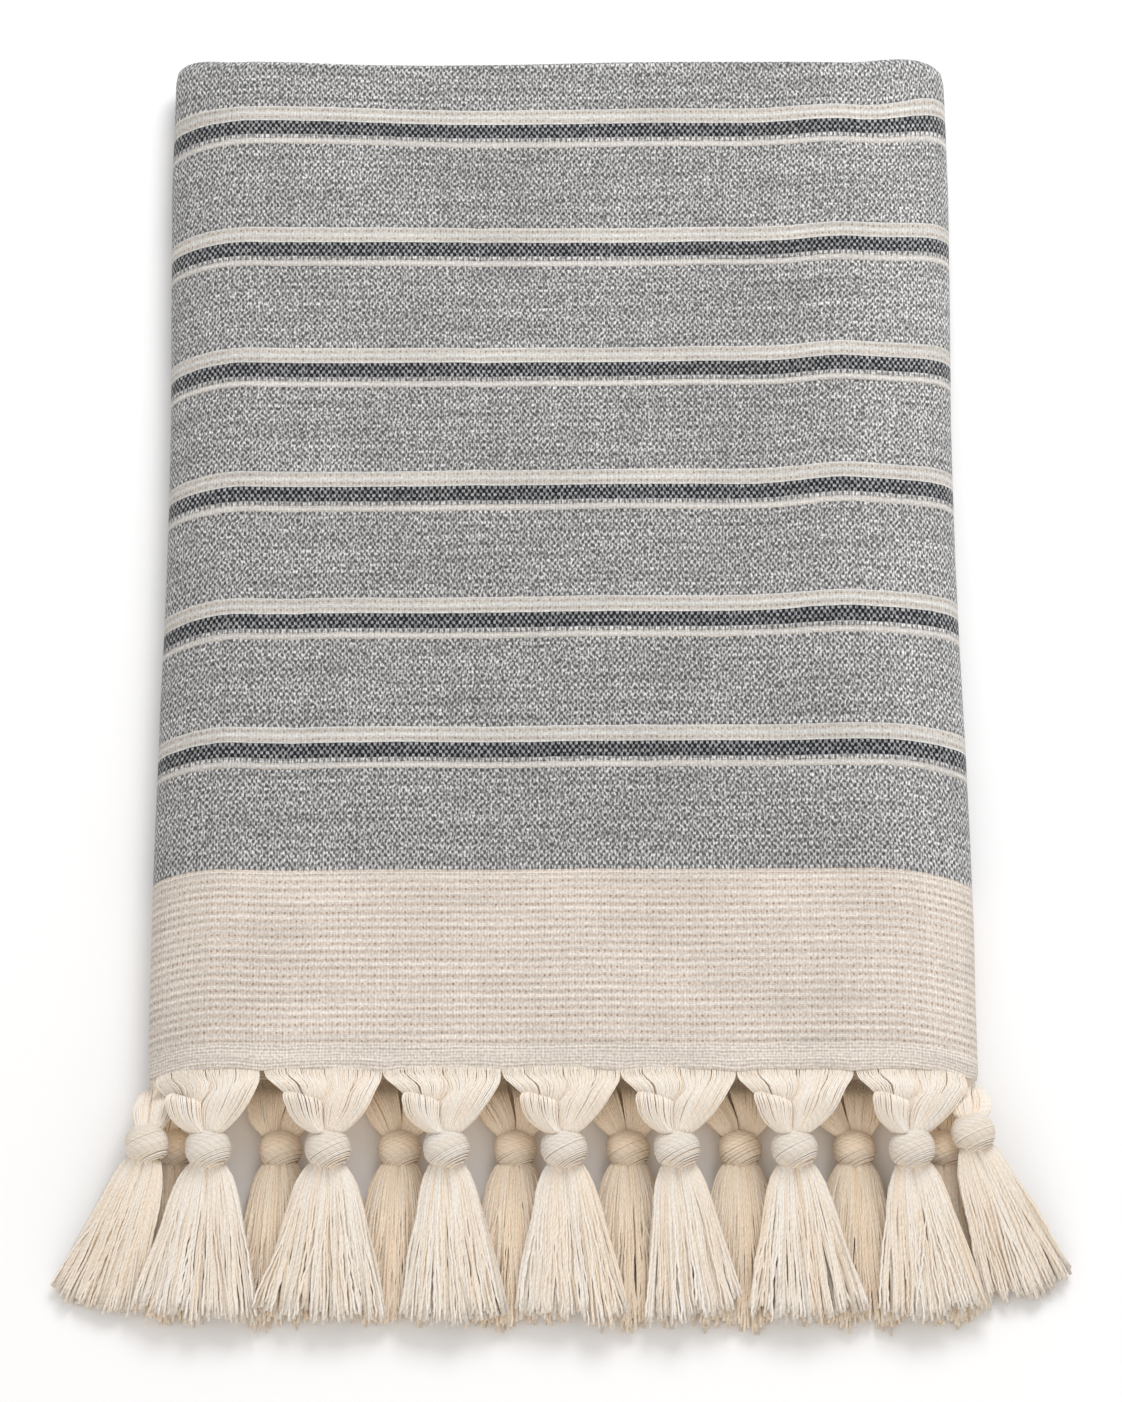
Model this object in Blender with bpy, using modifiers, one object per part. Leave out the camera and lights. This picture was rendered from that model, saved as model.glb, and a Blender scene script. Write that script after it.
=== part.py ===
"""Hammam towel, folded: one cloth in back-and-forth layers, and the knotted tassels of its hem.

The cloth is folded lengthwise in four layers, and both sides are then wrapped behind, so that
every layer runs round the whole stack and its selvedges meet at a seam in the middle of the back.
X runs across the towel, Y from the hem to the far fold and Z up. The towel lies on Z = 0.
"""

import math
import random

import bmesh
import bpy
from mathutils import Vector

# Folded cloth, in metres.
CLOTH_THICKNESS = 0.002
FAR_Y = 0.2703
HEM_Y = -0.1837
STACK_HEIGHT = 0.034
STACK_HALF_WIDTH = 0.1675
LAYERS = 4
SEAM_GAP = 0.003

# Round sides: the height of the widest place, for the outer and for the innermost layer, how far
# each layer lies inside the last one there, and how wide its rounds are for their height.
OUTER_SIDE_Z = 0.012
INNER_SIDE_Z = 0.017
SIDE_PITCH = 0.005
TOP_ROUND = 1.74
BOTTOM_ROUND = 2.41

# Where the layers turn back, measured from the far fold or from the hem.
FAR_CORNER = 0.006
CORNER_END = 0.98
INNER_FAR_RECESS = 0.004
INNER_NEAR_RECESS = 0.009
TUCKED_END = 0.120
BACK_HEM_RECESS = 0.0034
RECESS_STATIONS = (1.5, 3.0)

# Unevenness: the towel drifts sideways toward the hem, its sides swell along both shoulders, and
# slow waves run over the top, down the sides and along the far fold. Swells are shares of the
# height above the back, which stays flat. The far fold's corners reach a little beyond its middle
# and the stack is a little wider there; shares are of the way from the hem to the far fold.
HEM_DRIFT = 0.0018
FAR_DRIFT = -0.0005
SHOULDER_X = 0.122
SHOULDER_WIDTH = 0.026
SHOULDER_SWELL = 0.045
WAVE_SWELL = 0.018
SIDE_WAVE = 0.0007
FAR_WAVE = 0.0008
WAVE_LENGTH_ACROSS = 0.45
WAVES_ALONG = 1.1
SIDE_WAVES = 1.4
FAR_WAVE_LENGTH = 0.24
FAR_WAVE_START = 0.8
CORNER_REACH = {"left": 0.0075, "right": 0.0072}
CORNER_REACH_X = {"left": (0.138, 0.176), "right": (0.124, 0.168)}
CORNER_REACH_START = 0.9
FAR_WIDENING = 0.0020
FAR_WIDENING_START = 0.55

# Segments of the cloth: half of the section, one length and one turn.
TOP_STEPS = 4
SHOULDER_STEPS = 6
UNDERSIDE_STEPS = 4
BACK_STEPS = 2
LENGTH_SHARES = (0.0, 0.28, 0.56, 0.82, 0.975, 1.0)
TURN_STEPS = 4

# Steps that measure the hem, and the small step that finds its direction.
HEM_STEPS = 400
STATION_STEP = 0.01

# Tassels. Each gathers four legs of yarn from the hem into a knot, and its skirt hangs from that.
ROOT_GAP = 0.0003
LEGS = 4
LEG_WIDTH_SHARE = 0.9
KNOT_HALF_SIZE = Vector((0.0094, 0.0077, 0.0071))
KNOT_COLUMNS = 6
KNOT_ROWS = 2
KNOT_RINGS = 3
ROOT_INSET = 0.00025
NECK_DISTANCE = 0.0086
NECK_COLUMN_PITCH = 0.0020
LOCK_WIDTH_SHARE = 0.84
SPREAD_SHARE = 0.36
TIP_RAGGED = 0.0035

# Rows of tassels: the knot's distance from the front hem line and its height; the heights of the
# skirt's middle at the neck, where it spreads and at the tips; the skirt's length, and half the
# angle of its fan; and the places (column, level) on the knot's grid where the legs join, left to
# right. Back tassels lie on the floor, front ones on them, and side ones slope down to the floor.
ROWS = {
    "front": dict(
        knot_out=0.0295,
        knot_z=0.0230,
        heights=(0.0188, 0.0146, 0.0094),
        skirt=0.0560,
        fan=19.8,
        legs=((0, 1), (1, 1), (4, 1), (5, 1)),
    ),
    "left": dict(
        knot_out=0.0275,
        knot_z=0.0218,
        heights=(0.0188, 0.0135, 0.0029),
        skirt=0.0555,
        fan=13.5,
        legs=((0, 0), (2, 0), (3, 1), (5, 1)),
    ),
    "right": dict(
        knot_out=0.0230,
        knot_z=0.0218,
        heights=(0.0188, 0.0135, 0.0029),
        skirt=0.0555,
        fan=13.5,
        legs=((0, 1), (2, 1), (3, 0), (5, 0)),
    ),
    "back": dict(
        knot_out=0.0265,
        knot_z=0.0074,
        heights=(0.0057, 0.0043, 0.0029),
        skirt=0.0590,
        fan=18.0,
        legs=((0, 0), (1, 0), (4, 0), (5, 0)),
    ),
}

# Half the distance between a skirt's two rows of locks, and half of a lock's height, at the neck,
# where it spreads and at the tips.
ROW_OFFSETS = (0.0026, 0.0023, 0.00155)
LOCK_HALF_HEIGHTS = (0.0023, 0.0020, 0.0013)

# Each tassel: its row, the middle of its yarns along the hem, measured from the middle of the top
# round the right side, the length of hem that it gathers, its knot's x, its lean in degrees, and
# its fan as a share of its row's.
TASSELS = (
    # name, row, hem_place, gathered, knot_x, lean, fan_share
    ("front_1", "front", -0.1435, 0.0455, -0.1406, -4.6, 1.00),
    ("front_2", "front", -0.0955, 0.0470, -0.0929, -2.6, 1.02),
    ("front_3", "front", -0.0482, 0.0470, -0.0457, 3.1, 0.88),
    ("front_4", "front", -0.0005, 0.0470, 0.0012, 3.7, 0.95),
    ("front_5", "front", 0.0460, 0.0460, 0.0462, 6.7, 0.84),
    ("front_6", "front", 0.0927, 0.0470, 0.0930, 5.7, 0.97),
    ("front_7", "front", 0.1405, 0.0470, 0.1398, 8.5, 0.90),
    ("side_left", "left", -0.1795, 0.0240, -0.1653, -20.5, 1.00),
    ("side_right", "right", 0.1780, 0.0240, 0.1645, 21.5, 1.00),
    ("back_1", "back", -0.2030, 0.0220, -0.1553, 3.0, 0.62),
    ("back_2", "back", -0.2370, 0.0440, -0.1130, 1.0, 1.00),
    ("back_3", "back", -0.2810, 0.0440, -0.0650, -1.0, 1.00),
    ("back_4", "back", -0.3250, 0.0430, -0.0185, -0.5, 1.00),
    ("back_5", "back", 0.3250, 0.0430, 0.0270, 0.0, 1.00),
    ("back_6", "back", 0.2810, 0.0440, 0.0720, 0.5, 1.00),
    ("back_7", "back", 0.2370, 0.0440, 0.1180, -1.0, 1.00),
    ("back_8", "back", 0.2030, 0.0220, 0.1535, -0.5, 0.62),
)

PLY_PITCH = (STACK_HEIGHT - CLOTH_THICKNESS) / (2 * LAYERS - 1)


def smooth_step(value, start, end):
    """Goes from 0 at start to 1 at end with level ends."""
    share = min(max((value - start) / (end - start), 0.0), 1.0)
    return share * share * (3.0 - 2.0 * share)


def section(station, depth):
    """Point (x, z) of the wrapped section, depth layers in from the outside.

    Station 0 is the middle of the top, 1 the end of its flat, 2 the widest place, 3 the start of
    the back's flat and 4 the seam. Negative stations run round the left side.
    """
    inner = depth / (LAYERS - 1)
    top_z = STACK_HEIGHT - CLOTH_THICKNESS / 2 - PLY_PITCH * depth
    back_z = CLOTH_THICKNESS / 2 + PLY_PITCH * depth
    side_z = OUTER_SIDE_Z + (INNER_SIDE_Z - OUTER_SIDE_Z) * inner
    half_width = STACK_HALF_WIDTH - CLOTH_THICKNESS / 2 - SIDE_PITCH * depth
    top_round = TOP_ROUND * (top_z - side_z)
    back_round = BOTTOM_ROUND * (side_z - back_z)
    place = abs(station)
    if place <= 1.0:
        x = place * (half_width - top_round)
        z = top_z
    elif place <= 2.0:
        turn = (place - 1.0) * math.pi / 2
        x = half_width - top_round * (1.0 - math.sin(turn))
        z = side_z + (top_z - side_z) * math.cos(turn)
    elif place <= 3.0:
        turn = (place - 2.0) * math.pi / 2
        x = half_width - back_round * (1.0 - math.cos(turn))
        z = side_z - (side_z - back_z) * math.sin(turn)
    else:
        along = place - 3.0
        x = (half_width - back_round) * (1.0 - along) + SEAM_GAP / 2 * along
        z = back_z
    return math.copysign(x, station), z


def uneven(x, y, z):
    """Moves a point of the ideal stack to where the real cloth lies; the back stays flat."""
    along = (y - HEM_Y) / (FAR_Y - HEM_Y)
    shoulder = math.exp(-(((abs(x) - SHOULDER_X) / SHOULDER_WIDTH) ** 2))
    across_turn = math.tau * x / WAVE_LENGTH_ACROSS
    along_turn = math.tau * WAVES_ALONG * along
    waves = math.sin(across_turn + along_turn) * math.cos(along_turn - across_turn)
    swell = SHOULDER_SWELL * shoulder + WAVE_SWELL * waves
    side_wave = SIDE_WAVE * math.sin(math.tau * SIDE_WAVES * along)
    drift = HEM_DRIFT + (FAR_DRIFT - HEM_DRIFT) * along
    far_width = FAR_WIDENING * smooth_step(along, FAR_WIDENING_START, 1.0)
    widened = 1.0 + (side_wave + far_width - corner_cut(y)) / STACK_HALF_WIDTH
    far_wave = FAR_WAVE * math.sin(math.tau * x / FAR_WAVE_LENGTH)
    far_wave *= smooth_step(along, FAR_WAVE_START, 1.0)
    side = "left" if x < 0.0 else "right"
    corner_reach = CORNER_REACH[side] * smooth_step(abs(x), *CORNER_REACH_X[side])
    corner_reach *= smooth_step(along, CORNER_REACH_START, 1.0)
    back_z = CLOTH_THICKNESS / 2
    return Vector(
        (
            x * widened + drift,
            y + far_wave + corner_reach,
            z + swell * (z - back_z),
        )
    )


def corner_cut(y):
    """How far the sides are pulled in at the round corners of the far fold."""
    beyond = min(max(y - FAR_Y + FAR_CORNER, 0.0) / FAR_CORNER, CORNER_END)
    return FAR_CORNER * (1.0 - math.sqrt(1.0 - beyond * beyond))


def hem_recess(station):
    """How far the hem lies behind its front line: none on top, most on the back."""
    return BACK_HEM_RECESS * smooth_step(abs(station), *RECESS_STATIONS)


def stations_across():
    """Stations of the cloth's columns, from the left selvedge to the right one."""
    half = []
    for start, steps in enumerate((TOP_STEPS, SHOULDER_STEPS, UNDERSIDE_STEPS, BACK_STEPS)):
        half += [start + step / steps for step in range(steps)]
    half.append(4.0)
    return [-station for station in reversed(half[1:])] + half


def rows_along():
    """Rows of the cloth from its hem: (y, depth, share of the hem's recess)."""
    turn_radius = PLY_PITCH / 2
    far_turn = FAR_Y - CLOTH_THICKNESS / 2 - turn_radius
    ends = [
        (HEM_Y, far_turn),
        (far_turn, HEM_Y + INNER_NEAR_RECESS + turn_radius),
        (HEM_Y + INNER_NEAR_RECESS + turn_radius, far_turn - INNER_FAR_RECESS),
        (far_turn - INNER_FAR_RECESS, HEM_Y + TUCKED_END),
    ]
    rows = []
    for depth, (start, end) in enumerate(ends):
        shares = LENGTH_SHARES if depth % 2 == 0 else [1.0 - share for share in reversed(LENGTH_SHARES)]
        for share in shares:
            recess_share = 1.0 - share if depth == 0 else 0.0
            rows.append((start + (end - start) * share, depth, recess_share))
        if depth == LAYERS - 1:
            break
        outward = 1.0 if end > start else -1.0
        next_start = ends[depth + 1][0]
        for step in range(1, TURN_STEPS):
            angle = math.pi * step / TURN_STEPS
            across = (1.0 - math.cos(angle)) / 2
            y = end + (next_start - end) * across + outward * turn_radius * math.sin(angle)
            rows.append((y, depth + across, 0.0))
    return rows


def material(name, colour, roughness):
    """Plain surface of one colour."""
    made = bpy.data.materials.new(name)
    made.use_nodes = True
    surface = made.node_tree.nodes["Principled BSDF"]
    surface.inputs["Base Color"].default_value = (*colour, 1.0)
    surface.inputs["Roughness"].default_value = roughness
    surface.inputs["Metallic"].default_value = 0.0
    return made


def add_object(name, bm, collection, surface):
    """Turns a bmesh into a smooth object of the towel."""
    mesh = bpy.data.meshes.new(name)
    bm.normal_update()
    bm.to_mesh(mesh)
    bm.free()
    mesh.materials.append(surface)
    mesh.shade_smooth()
    made = bpy.data.objects.new(name, mesh)
    collection.objects.link(made)
    return made


def build_cloth(collection, surface):
    """The cloth: a grid folded row by row and column by column, then given its thickness."""
    stations = stations_across()
    rows = rows_along()
    bm = bmesh.new()
    bmesh.ops.create_grid(bm, x_segments=len(stations) - 1, y_segments=len(rows) - 1, size=1.0)
    for vert in bm.verts:
        station = stations[round((vert.co.x + 1.0) / 2.0 * (len(stations) - 1))]
        y, depth, recess_share = rows[round((vert.co.y + 1.0) / 2.0 * (len(rows) - 1))]
        x, z = section(station, depth)
        vert.co = uneven(x, y + hem_recess(station) * recess_share, z)
    cloth = add_object("cloth", bm, collection, surface)
    thickness = cloth.modifiers.new("Thickness", "SOLIDIFY")
    thickness.thickness = CLOTH_THICKNESS
    thickness.offset = 0.0
    thickness.use_even_offset = True
    return cloth


def hem_point(station):
    """Ideal point of the hem's line at a station."""
    x, z = section(station, 0.0)
    return x, HEM_Y + hem_recess(station), z


def hem_places():
    """The hem's outer section as (distance from the top's middle, station), for the right half."""
    stations = [4.0 * step / HEM_STEPS for step in range(HEM_STEPS + 1)]
    places = [(0.0, 0.0)]
    last = uneven(*hem_point(0.0))
    for station in stations[1:]:
        point = uneven(*hem_point(station))
        places.append((places[-1][0] + math.dist(last.xz, point.xz), station))
        last = point
    return places


def hem_frame(place, places):
    """Point on the hem at a distance from the top's middle, with its tangent in XZ."""
    distance = min(abs(place), places[-1][0])
    index = max(1, next(i for i, (reached, _) in enumerate(places) if reached >= distance))
    (before, station_before), (after, station_after) = places[index - 1], places[index]
    share = (distance - before) / (after - before)
    station = math.copysign(station_before + (station_after - station_before) * share, place)
    ahead = uneven(*hem_point(station + STATION_STEP))
    behind = uneven(*hem_point(station - STATION_STEP))
    tangent = Vector((ahead.x - behind.x, 0.0, ahead.z - behind.z)).normalized()
    return uneven(*hem_point(station)), tangent


def cross_section(tangent, half_width, half_height):
    """A flat strip's half sides as (across, up), for a strip whose width lies along the tangent."""
    normal = Vector((-tangent.z, 0.0, tangent.x))
    along, through = tangent * half_width, normal * half_height
    across, up = (along, through) if abs(tangent.x) >= abs(tangent.z) else (through, along)
    return across * math.copysign(1.0, across.x), up * math.copysign(1.0, up.z)


def knot_ball(bm, centre):
    """The knot: a box cut into a grid and blown up to a ball. Returns its near and far faces.

    Both lists run column by column from the left, lower row first.
    """
    bmesh.ops.create_cube(bm, size=2.0)
    for axis, cuts in ((0, KNOT_COLUMNS - 1), (2, KNOT_ROWS - 1), (1, KNOT_RINGS - 1)):
        edges = [edge for edge in bm.edges if abs((edge.verts[0].co - edge.verts[1].co)[axis]) > 1.0]
        bmesh.ops.subdivide_edges(bm, edges=edges, cuts=cuts)
    sides = []
    for end in (-1.0, 1.0):
        faces = [f for f in bm.faces if all(vert.co.y * end > 0.99 for vert in f.verts)]
        faces.sort(key=lambda f: (round(f.calc_center_median().x, 3), f.calc_center_median().z))
        sides.append(faces)
    for vert in bm.verts:
        vert.co = centre + vert.co.normalized() * KNOT_HALF_SIZE
    return sides


def grow(bm, face, sections):
    """Extrudes a face through sections of a strand, each given as (middle, across, up)."""
    across, up = Vector((1.0, 0.0, 0.0)), Vector((0.0, 0.0, 1.0))
    for middle, next_across, next_up in sections:
        face = bmesh.ops.extrude_discrete_faces(bm, faces=[face])["faces"][0]
        by_height = sorted(face.verts, key=lambda vert: vert.co.dot(up))
        for rise, pair in ((-1.0, by_height[:2]), (1.0, by_height[2:])):
            left, right = sorted(pair, key=lambda vert: vert.co.dot(across))
            left.co = middle - next_across + next_up * rise
            right.co = middle + next_across + next_up * rise
        across, up = next_across, next_up


def lock_sections(column, row, knot, style, lean, fan, ragged):
    """One lock of the skirt, from the neck to its tip."""
    middle_column = (KNOT_COLUMNS - 1) / 2
    share = (column - middle_column) / middle_column
    sign = 2 * row - 1
    angle = math.radians(lean + fan * share)
    outward = Vector((math.sin(angle), -math.cos(angle), 0.0))
    sideways = Vector((math.cos(angle), math.sin(angle), 0.0))
    neck = Vector((knot.x, knot.y - NECK_DISTANCE, 0.0))
    start_x = (column - middle_column) * NECK_COLUMN_PITCH
    step = math.radians(2.0 * fan) / (KNOT_COLUMNS - 1)
    sections = []
    for along, height, offset, half_height in zip(
        (0.0, SPREAD_SHARE, 1.0), style["heights"], ROW_OFFSETS, LOCK_HALF_HEIGHTS
    ):
        reach = style["skirt"] * along - (ragged if along == 1.0 else 0.0)
        pitch = NECK_COLUMN_PITCH + (step * style["skirt"] - NECK_COLUMN_PITCH) * along
        middle = neck + Vector((start_x * (1.0 - along), 0.0, height + sign * offset)) + outward * reach
        sections.append(
            (middle, sideways * pitch * LOCK_WIDTH_SHARE / 2, Vector((0.0, 0.0, half_height)))
        )
    return sections


def leg_sections(place, gathered, places, face):
    """One leg of yarn, from the knot's face to just before the hem."""
    half_width = gathered / LEGS * LEG_WIDTH_SHARE / 2
    root, tangent = hem_frame(place, places)
    edges = [hem_frame(place + side * half_width, places)[0] for side in (-1.0, 1.0)]
    root.y = min(edge.y for edge in edges) - ROOT_GAP
    across, up = cross_section(tangent, half_width, CLOTH_THICKNESS / 2)
    corners = [vert.co for vert in face.verts]
    width = max(c.x for c in corners) - min(c.x for c in corners)
    height = max(c.z for c in corners) - min(c.z for c in corners)
    between = (face.calc_center_median() + root) / 2
    middle_across = (Vector((width / 2, 0.0, 0.0)) + across) / 2
    middle_up = (Vector((0.0, 0.0, height / 2)) + up) / 2
    return [(between, middle_across, middle_up), (root, across, up)]


def build_tassel(name, row, hem_place, gathered, knot_x, lean, fan_share, places):
    """One tassel as a bmesh: four flat legs and a fanned skirt of locks, all grown from its knot."""
    style = ROWS[row]
    chance = random.Random(name)
    knot = Vector((knot_x, HEM_Y - style["knot_out"], style["knot_z"]))
    bm = bmesh.new()
    near_faces, far_faces = knot_ball(bm, knot)
    legs = [far_faces[column * KNOT_ROWS + level] for column, level in style["legs"]]
    bmesh.ops.inset_individual(bm, faces=near_faces + legs, thickness=ROOT_INSET, use_even_offset=True)
    for index, face in enumerate(near_faces):
        column, level = divmod(index, KNOT_ROWS)
        ragged = chance.uniform(0.0, TIP_RAGGED)
        grow(bm, face, lock_sections(column, level, knot, style, lean, style["fan"] * fan_share, ragged))
    # Along the hem's back, places run from right to left.
    direction = -1.0 if row == "back" else 1.0
    for index, face in enumerate(legs):
        offset = (index - (LEGS - 1) / 2) * gathered / LEGS * direction
        grow(bm, face, leg_sections(hem_place + offset, gathered, places, face))
    return bm


def main():
    for old in list(bpy.data.objects):
        bpy.data.objects.remove(old, do_unlink=True)
    collection = bpy.data.collections.new("hammam_towel")
    bpy.context.scene.collection.children.link(collection)
    cloth_surface = material("towel_cloth", (0.42, 0.40, 0.38), 0.95)
    yarn_surface = material("tassel_yarn", (0.80, 0.71, 0.60), 0.95)
    build_cloth(collection, cloth_surface)
    places = hem_places()
    for tassel in TASSELS:
        add_object("tassel_" + tassel[0], build_tassel(*tassel, places), collection, yarn_surface)


main()
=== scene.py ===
# Folded hammam towel: striped woven cloth with a knotted fringe, lying on a pale table.
import math
import random

import bpy
import numpy as np
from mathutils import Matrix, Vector, noise


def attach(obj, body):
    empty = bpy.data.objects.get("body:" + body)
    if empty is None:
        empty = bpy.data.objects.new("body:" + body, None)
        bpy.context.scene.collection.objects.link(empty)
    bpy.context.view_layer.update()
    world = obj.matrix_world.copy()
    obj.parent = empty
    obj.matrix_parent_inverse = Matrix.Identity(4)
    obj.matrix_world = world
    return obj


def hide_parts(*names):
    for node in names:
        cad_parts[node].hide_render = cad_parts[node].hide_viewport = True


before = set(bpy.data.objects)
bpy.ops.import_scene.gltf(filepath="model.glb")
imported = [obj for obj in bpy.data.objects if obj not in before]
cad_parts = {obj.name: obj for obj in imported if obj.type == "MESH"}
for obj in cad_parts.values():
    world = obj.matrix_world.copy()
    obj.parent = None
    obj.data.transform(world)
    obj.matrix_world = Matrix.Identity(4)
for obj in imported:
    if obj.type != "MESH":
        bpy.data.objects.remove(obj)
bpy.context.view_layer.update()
bpy.ops.object.select_all(action="DESELECT")
noise.seed_set(1)  # so that the puckers come out the same each time
print("frame loaded:", len(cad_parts), "solids")


# The fold is the same as the solid's. Lengths are in metres unless a note says otherwise.
fold = dict(
    thickness=0.0019,  # of the visible sheet
    plyThickness=0.002,  # of the solid's plies
    farY=0.2703,
    hemY=-0.1837,
    height=0.034,
    halfWidth=0.1675,
    layers=4,
    seamGap=0.003,
    outerSideZ=0.012,
    innerSideZ=0.017,
    sidePitch=0.005,
    topRound=1.74,
    bottomRound=2.41,
    farCorner=0.006,
    cornerEnd=0.98,
    innerFarRecess=0.004,
    innerNearRecess=0.009,
    tuckedEnd=0.120,
    backHemRecess=0.0034,
    recessStations=(1.5, 3.0),
    hemDrift=0.0008,
    farDrift=-0.0005,
    shoulderX=0.122,
    shoulderWidth=0.026,
    shoulderSwell=0.045,
    waveSwell=0.018,
    sideWave=0.0007,
    farWave=0.0008,
    waveAcross=0.45,
    wavesAlong=1.1,
    sideWaves=1.4,
    farWaveLength=0.24,
    farWaveStart=0.8,
    cornerReach=dict(left=0.0075, right=0.0072),
    cornerReachX=dict(left=(0.138, 0.176), right=(0.124, 0.168)),
    cornerReachStart=0.9,
    farWidening=0.0020,
    farWideningStart=0.55,
)
plyPitch = (fold["height"] - fold["plyThickness"]) / (2 * fold["layers"] - 1)


def smoothStep(value, start, end):
    share = np.clip((value - start) / (end - start), 0.0, 1.0)
    return share * share * (3.0 - 2.0 * share)


def swell(value, middle, width):
    return math.exp(-(((value - middle) / width) ** 2))


def sectionPoint(station, depth):
    # Station 0 is the middle of the top, 1 the end of its flat, 2 the widest place,
    # 3 the start of the back's flat and 4 the seam; negative ones run round the left.
    inner = depth / (fold["layers"] - 1)
    topZ = fold["height"] - fold["plyThickness"] / 2 - plyPitch * depth
    backZ = fold["plyThickness"] / 2 + plyPitch * depth
    sideZ = fold["outerSideZ"] + (fold["innerSideZ"] - fold["outerSideZ"]) * inner
    halfWidth = fold["halfWidth"] - fold["plyThickness"] / 2 - fold["sidePitch"] * depth
    topRound = fold["topRound"] * (topZ - sideZ)
    backRound = fold["bottomRound"] * (sideZ - backZ)
    place = abs(station)
    if place <= 1.0:
        x, z = place * (halfWidth - topRound), topZ
    elif place <= 2.0:
        turn = (place - 1.0) * math.pi / 2
        x = halfWidth - topRound * (1.0 - math.sin(turn))
        z = sideZ + (topZ - sideZ) * math.cos(turn)
    elif place <= 3.0:
        turn = (place - 2.0) * math.pi / 2
        x = halfWidth - backRound * (1.0 - math.cos(turn))
        z = sideZ - (sideZ - backZ) * math.sin(turn)
    else:
        along = place - 3.0
        x = (halfWidth - backRound) * (1.0 - along) + fold["seamGap"] / 2 * along
        z = backZ
    return math.copysign(x, station), z


def unevenPoint(x, y, z):
    along = (y - fold["hemY"]) / (fold["farY"] - fold["hemY"])
    shoulder = swell(abs(x), fold["shoulderX"], fold["shoulderWidth"])
    acrossTurn = math.tau * x / fold["waveAcross"]
    alongTurn = math.tau * fold["wavesAlong"] * along
    waves = math.sin(acrossTurn + alongTurn) * math.cos(alongTurn - acrossTurn)
    rise = fold["shoulderSwell"] * shoulder + fold["waveSwell"] * waves
    sideWave = fold["sideWave"] * math.sin(math.tau * fold["sideWaves"] * along)
    beyond = max(y - fold["farY"] + fold["farCorner"], 0.0) / fold["farCorner"]
    beyond = min(beyond, fold["cornerEnd"])
    cornerCut = fold["farCorner"] * (1.0 - math.sqrt(1.0 - beyond * beyond))
    drift = fold["hemDrift"] + (fold["farDrift"] - fold["hemDrift"]) * along
    farWave = fold["farWave"] * math.sin(math.tau * x / fold["farWaveLength"])
    farWave *= float(smoothStep(along, fold["farWaveStart"], 1.0))
    farWidth = fold["farWidening"] * float(smoothStep(along, fold["farWideningStart"], 1.0))
    side = "left" if x < 0.0 else "right"
    reach = fold["cornerReach"][side] * float(smoothStep(abs(x), *fold["cornerReachX"][side]))
    reach *= float(smoothStep(along, fold["cornerReachStart"], 1.0))
    wider = 1.0 + (sideWave + farWidth - cornerCut) / fold["halfWidth"]
    return Vector((x * wider + drift, y + farWave + reach, z + rise * (z - fold["plyThickness"] / 2)))


def hemRecess(station):
    return fold["backHemRecess"] * float(smoothStep(abs(station), *fold["recessStations"]))


def hemSpot(station):
    x, z = sectionPoint(station, 0.0)
    return unevenPoint(x, fold["hemY"], z)


# Distance along the hem from the middle of the top, against the station.
hemStations = np.linspace(0.0, 4.0, 401)
hemLine = [hemSpot(station) for station in hemStations]
hemSteps = [math.dist((a.x, a.z), (b.x, b.z)) for a, b in zip(hemLine, hemLine[1:])]
hemReach = np.concatenate([[0.0], np.cumsum(hemSteps)])


def stationAt(place):
    return math.copysign(float(np.interp(abs(place), hemReach, hemStations)), place)


def placeAt(station):
    return math.copysign(float(np.interp(abs(station), hemStations, hemReach)), station)


# Tassels: where each hangs, how much hem it gathers and how its skirt falls.
# name: row, middle on the hem, hem gathered, knot x, lean in degrees, skirt's half width at the tips
tassels = dict(
    front_1=("front", -0.1435, 0.0455, -0.1406, -4.6, 0.0240),
    front_2=("front", -0.0955, 0.0470, -0.0929, -2.6, 0.0252),
    front_3=("front", -0.0482, 0.0470, -0.0457, 3.1, 0.0204),
    front_4=("front", -0.0005, 0.0470, 0.0012, 3.7, 0.0222),
    front_5=("front", 0.0460, 0.0460, 0.0462, 6.7, 0.0190),
    front_6=("front", 0.0927, 0.0470, 0.0930, 5.7, 0.0228),
    front_7=("front", 0.1405, 0.0470, 0.1398, 8.5, 0.0208),
    side_left=("left", -0.1795, 0.0240, -0.1653, -20.5, 0.0180),
    side_right=("right", 0.1780, 0.0240, 0.1645, 21.5, 0.0180),
    back_1=("back", -0.2030, 0.0220, -0.1553, 3.0, 0.0130),
    back_2=("back", -0.2370, 0.0440, -0.1130, 1.0, 0.0215),
    back_3=("back", -0.2810, 0.0440, -0.0650, -1.0, 0.0215),
    back_4=("back", -0.3250, 0.0430, -0.0185, -0.5, 0.0215),
    back_5=("back", 0.3250, 0.0430, 0.0270, 0.0, 0.0215),
    back_6=("back", 0.2810, 0.0440, 0.0720, 0.5, 0.0215),
    back_7=("back", 0.2370, 0.0440, 0.1180, -1.0, 0.0215),
    back_8=("back", 0.2030, 0.0220, 0.1535, -0.5, 0.0130),
)

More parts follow.
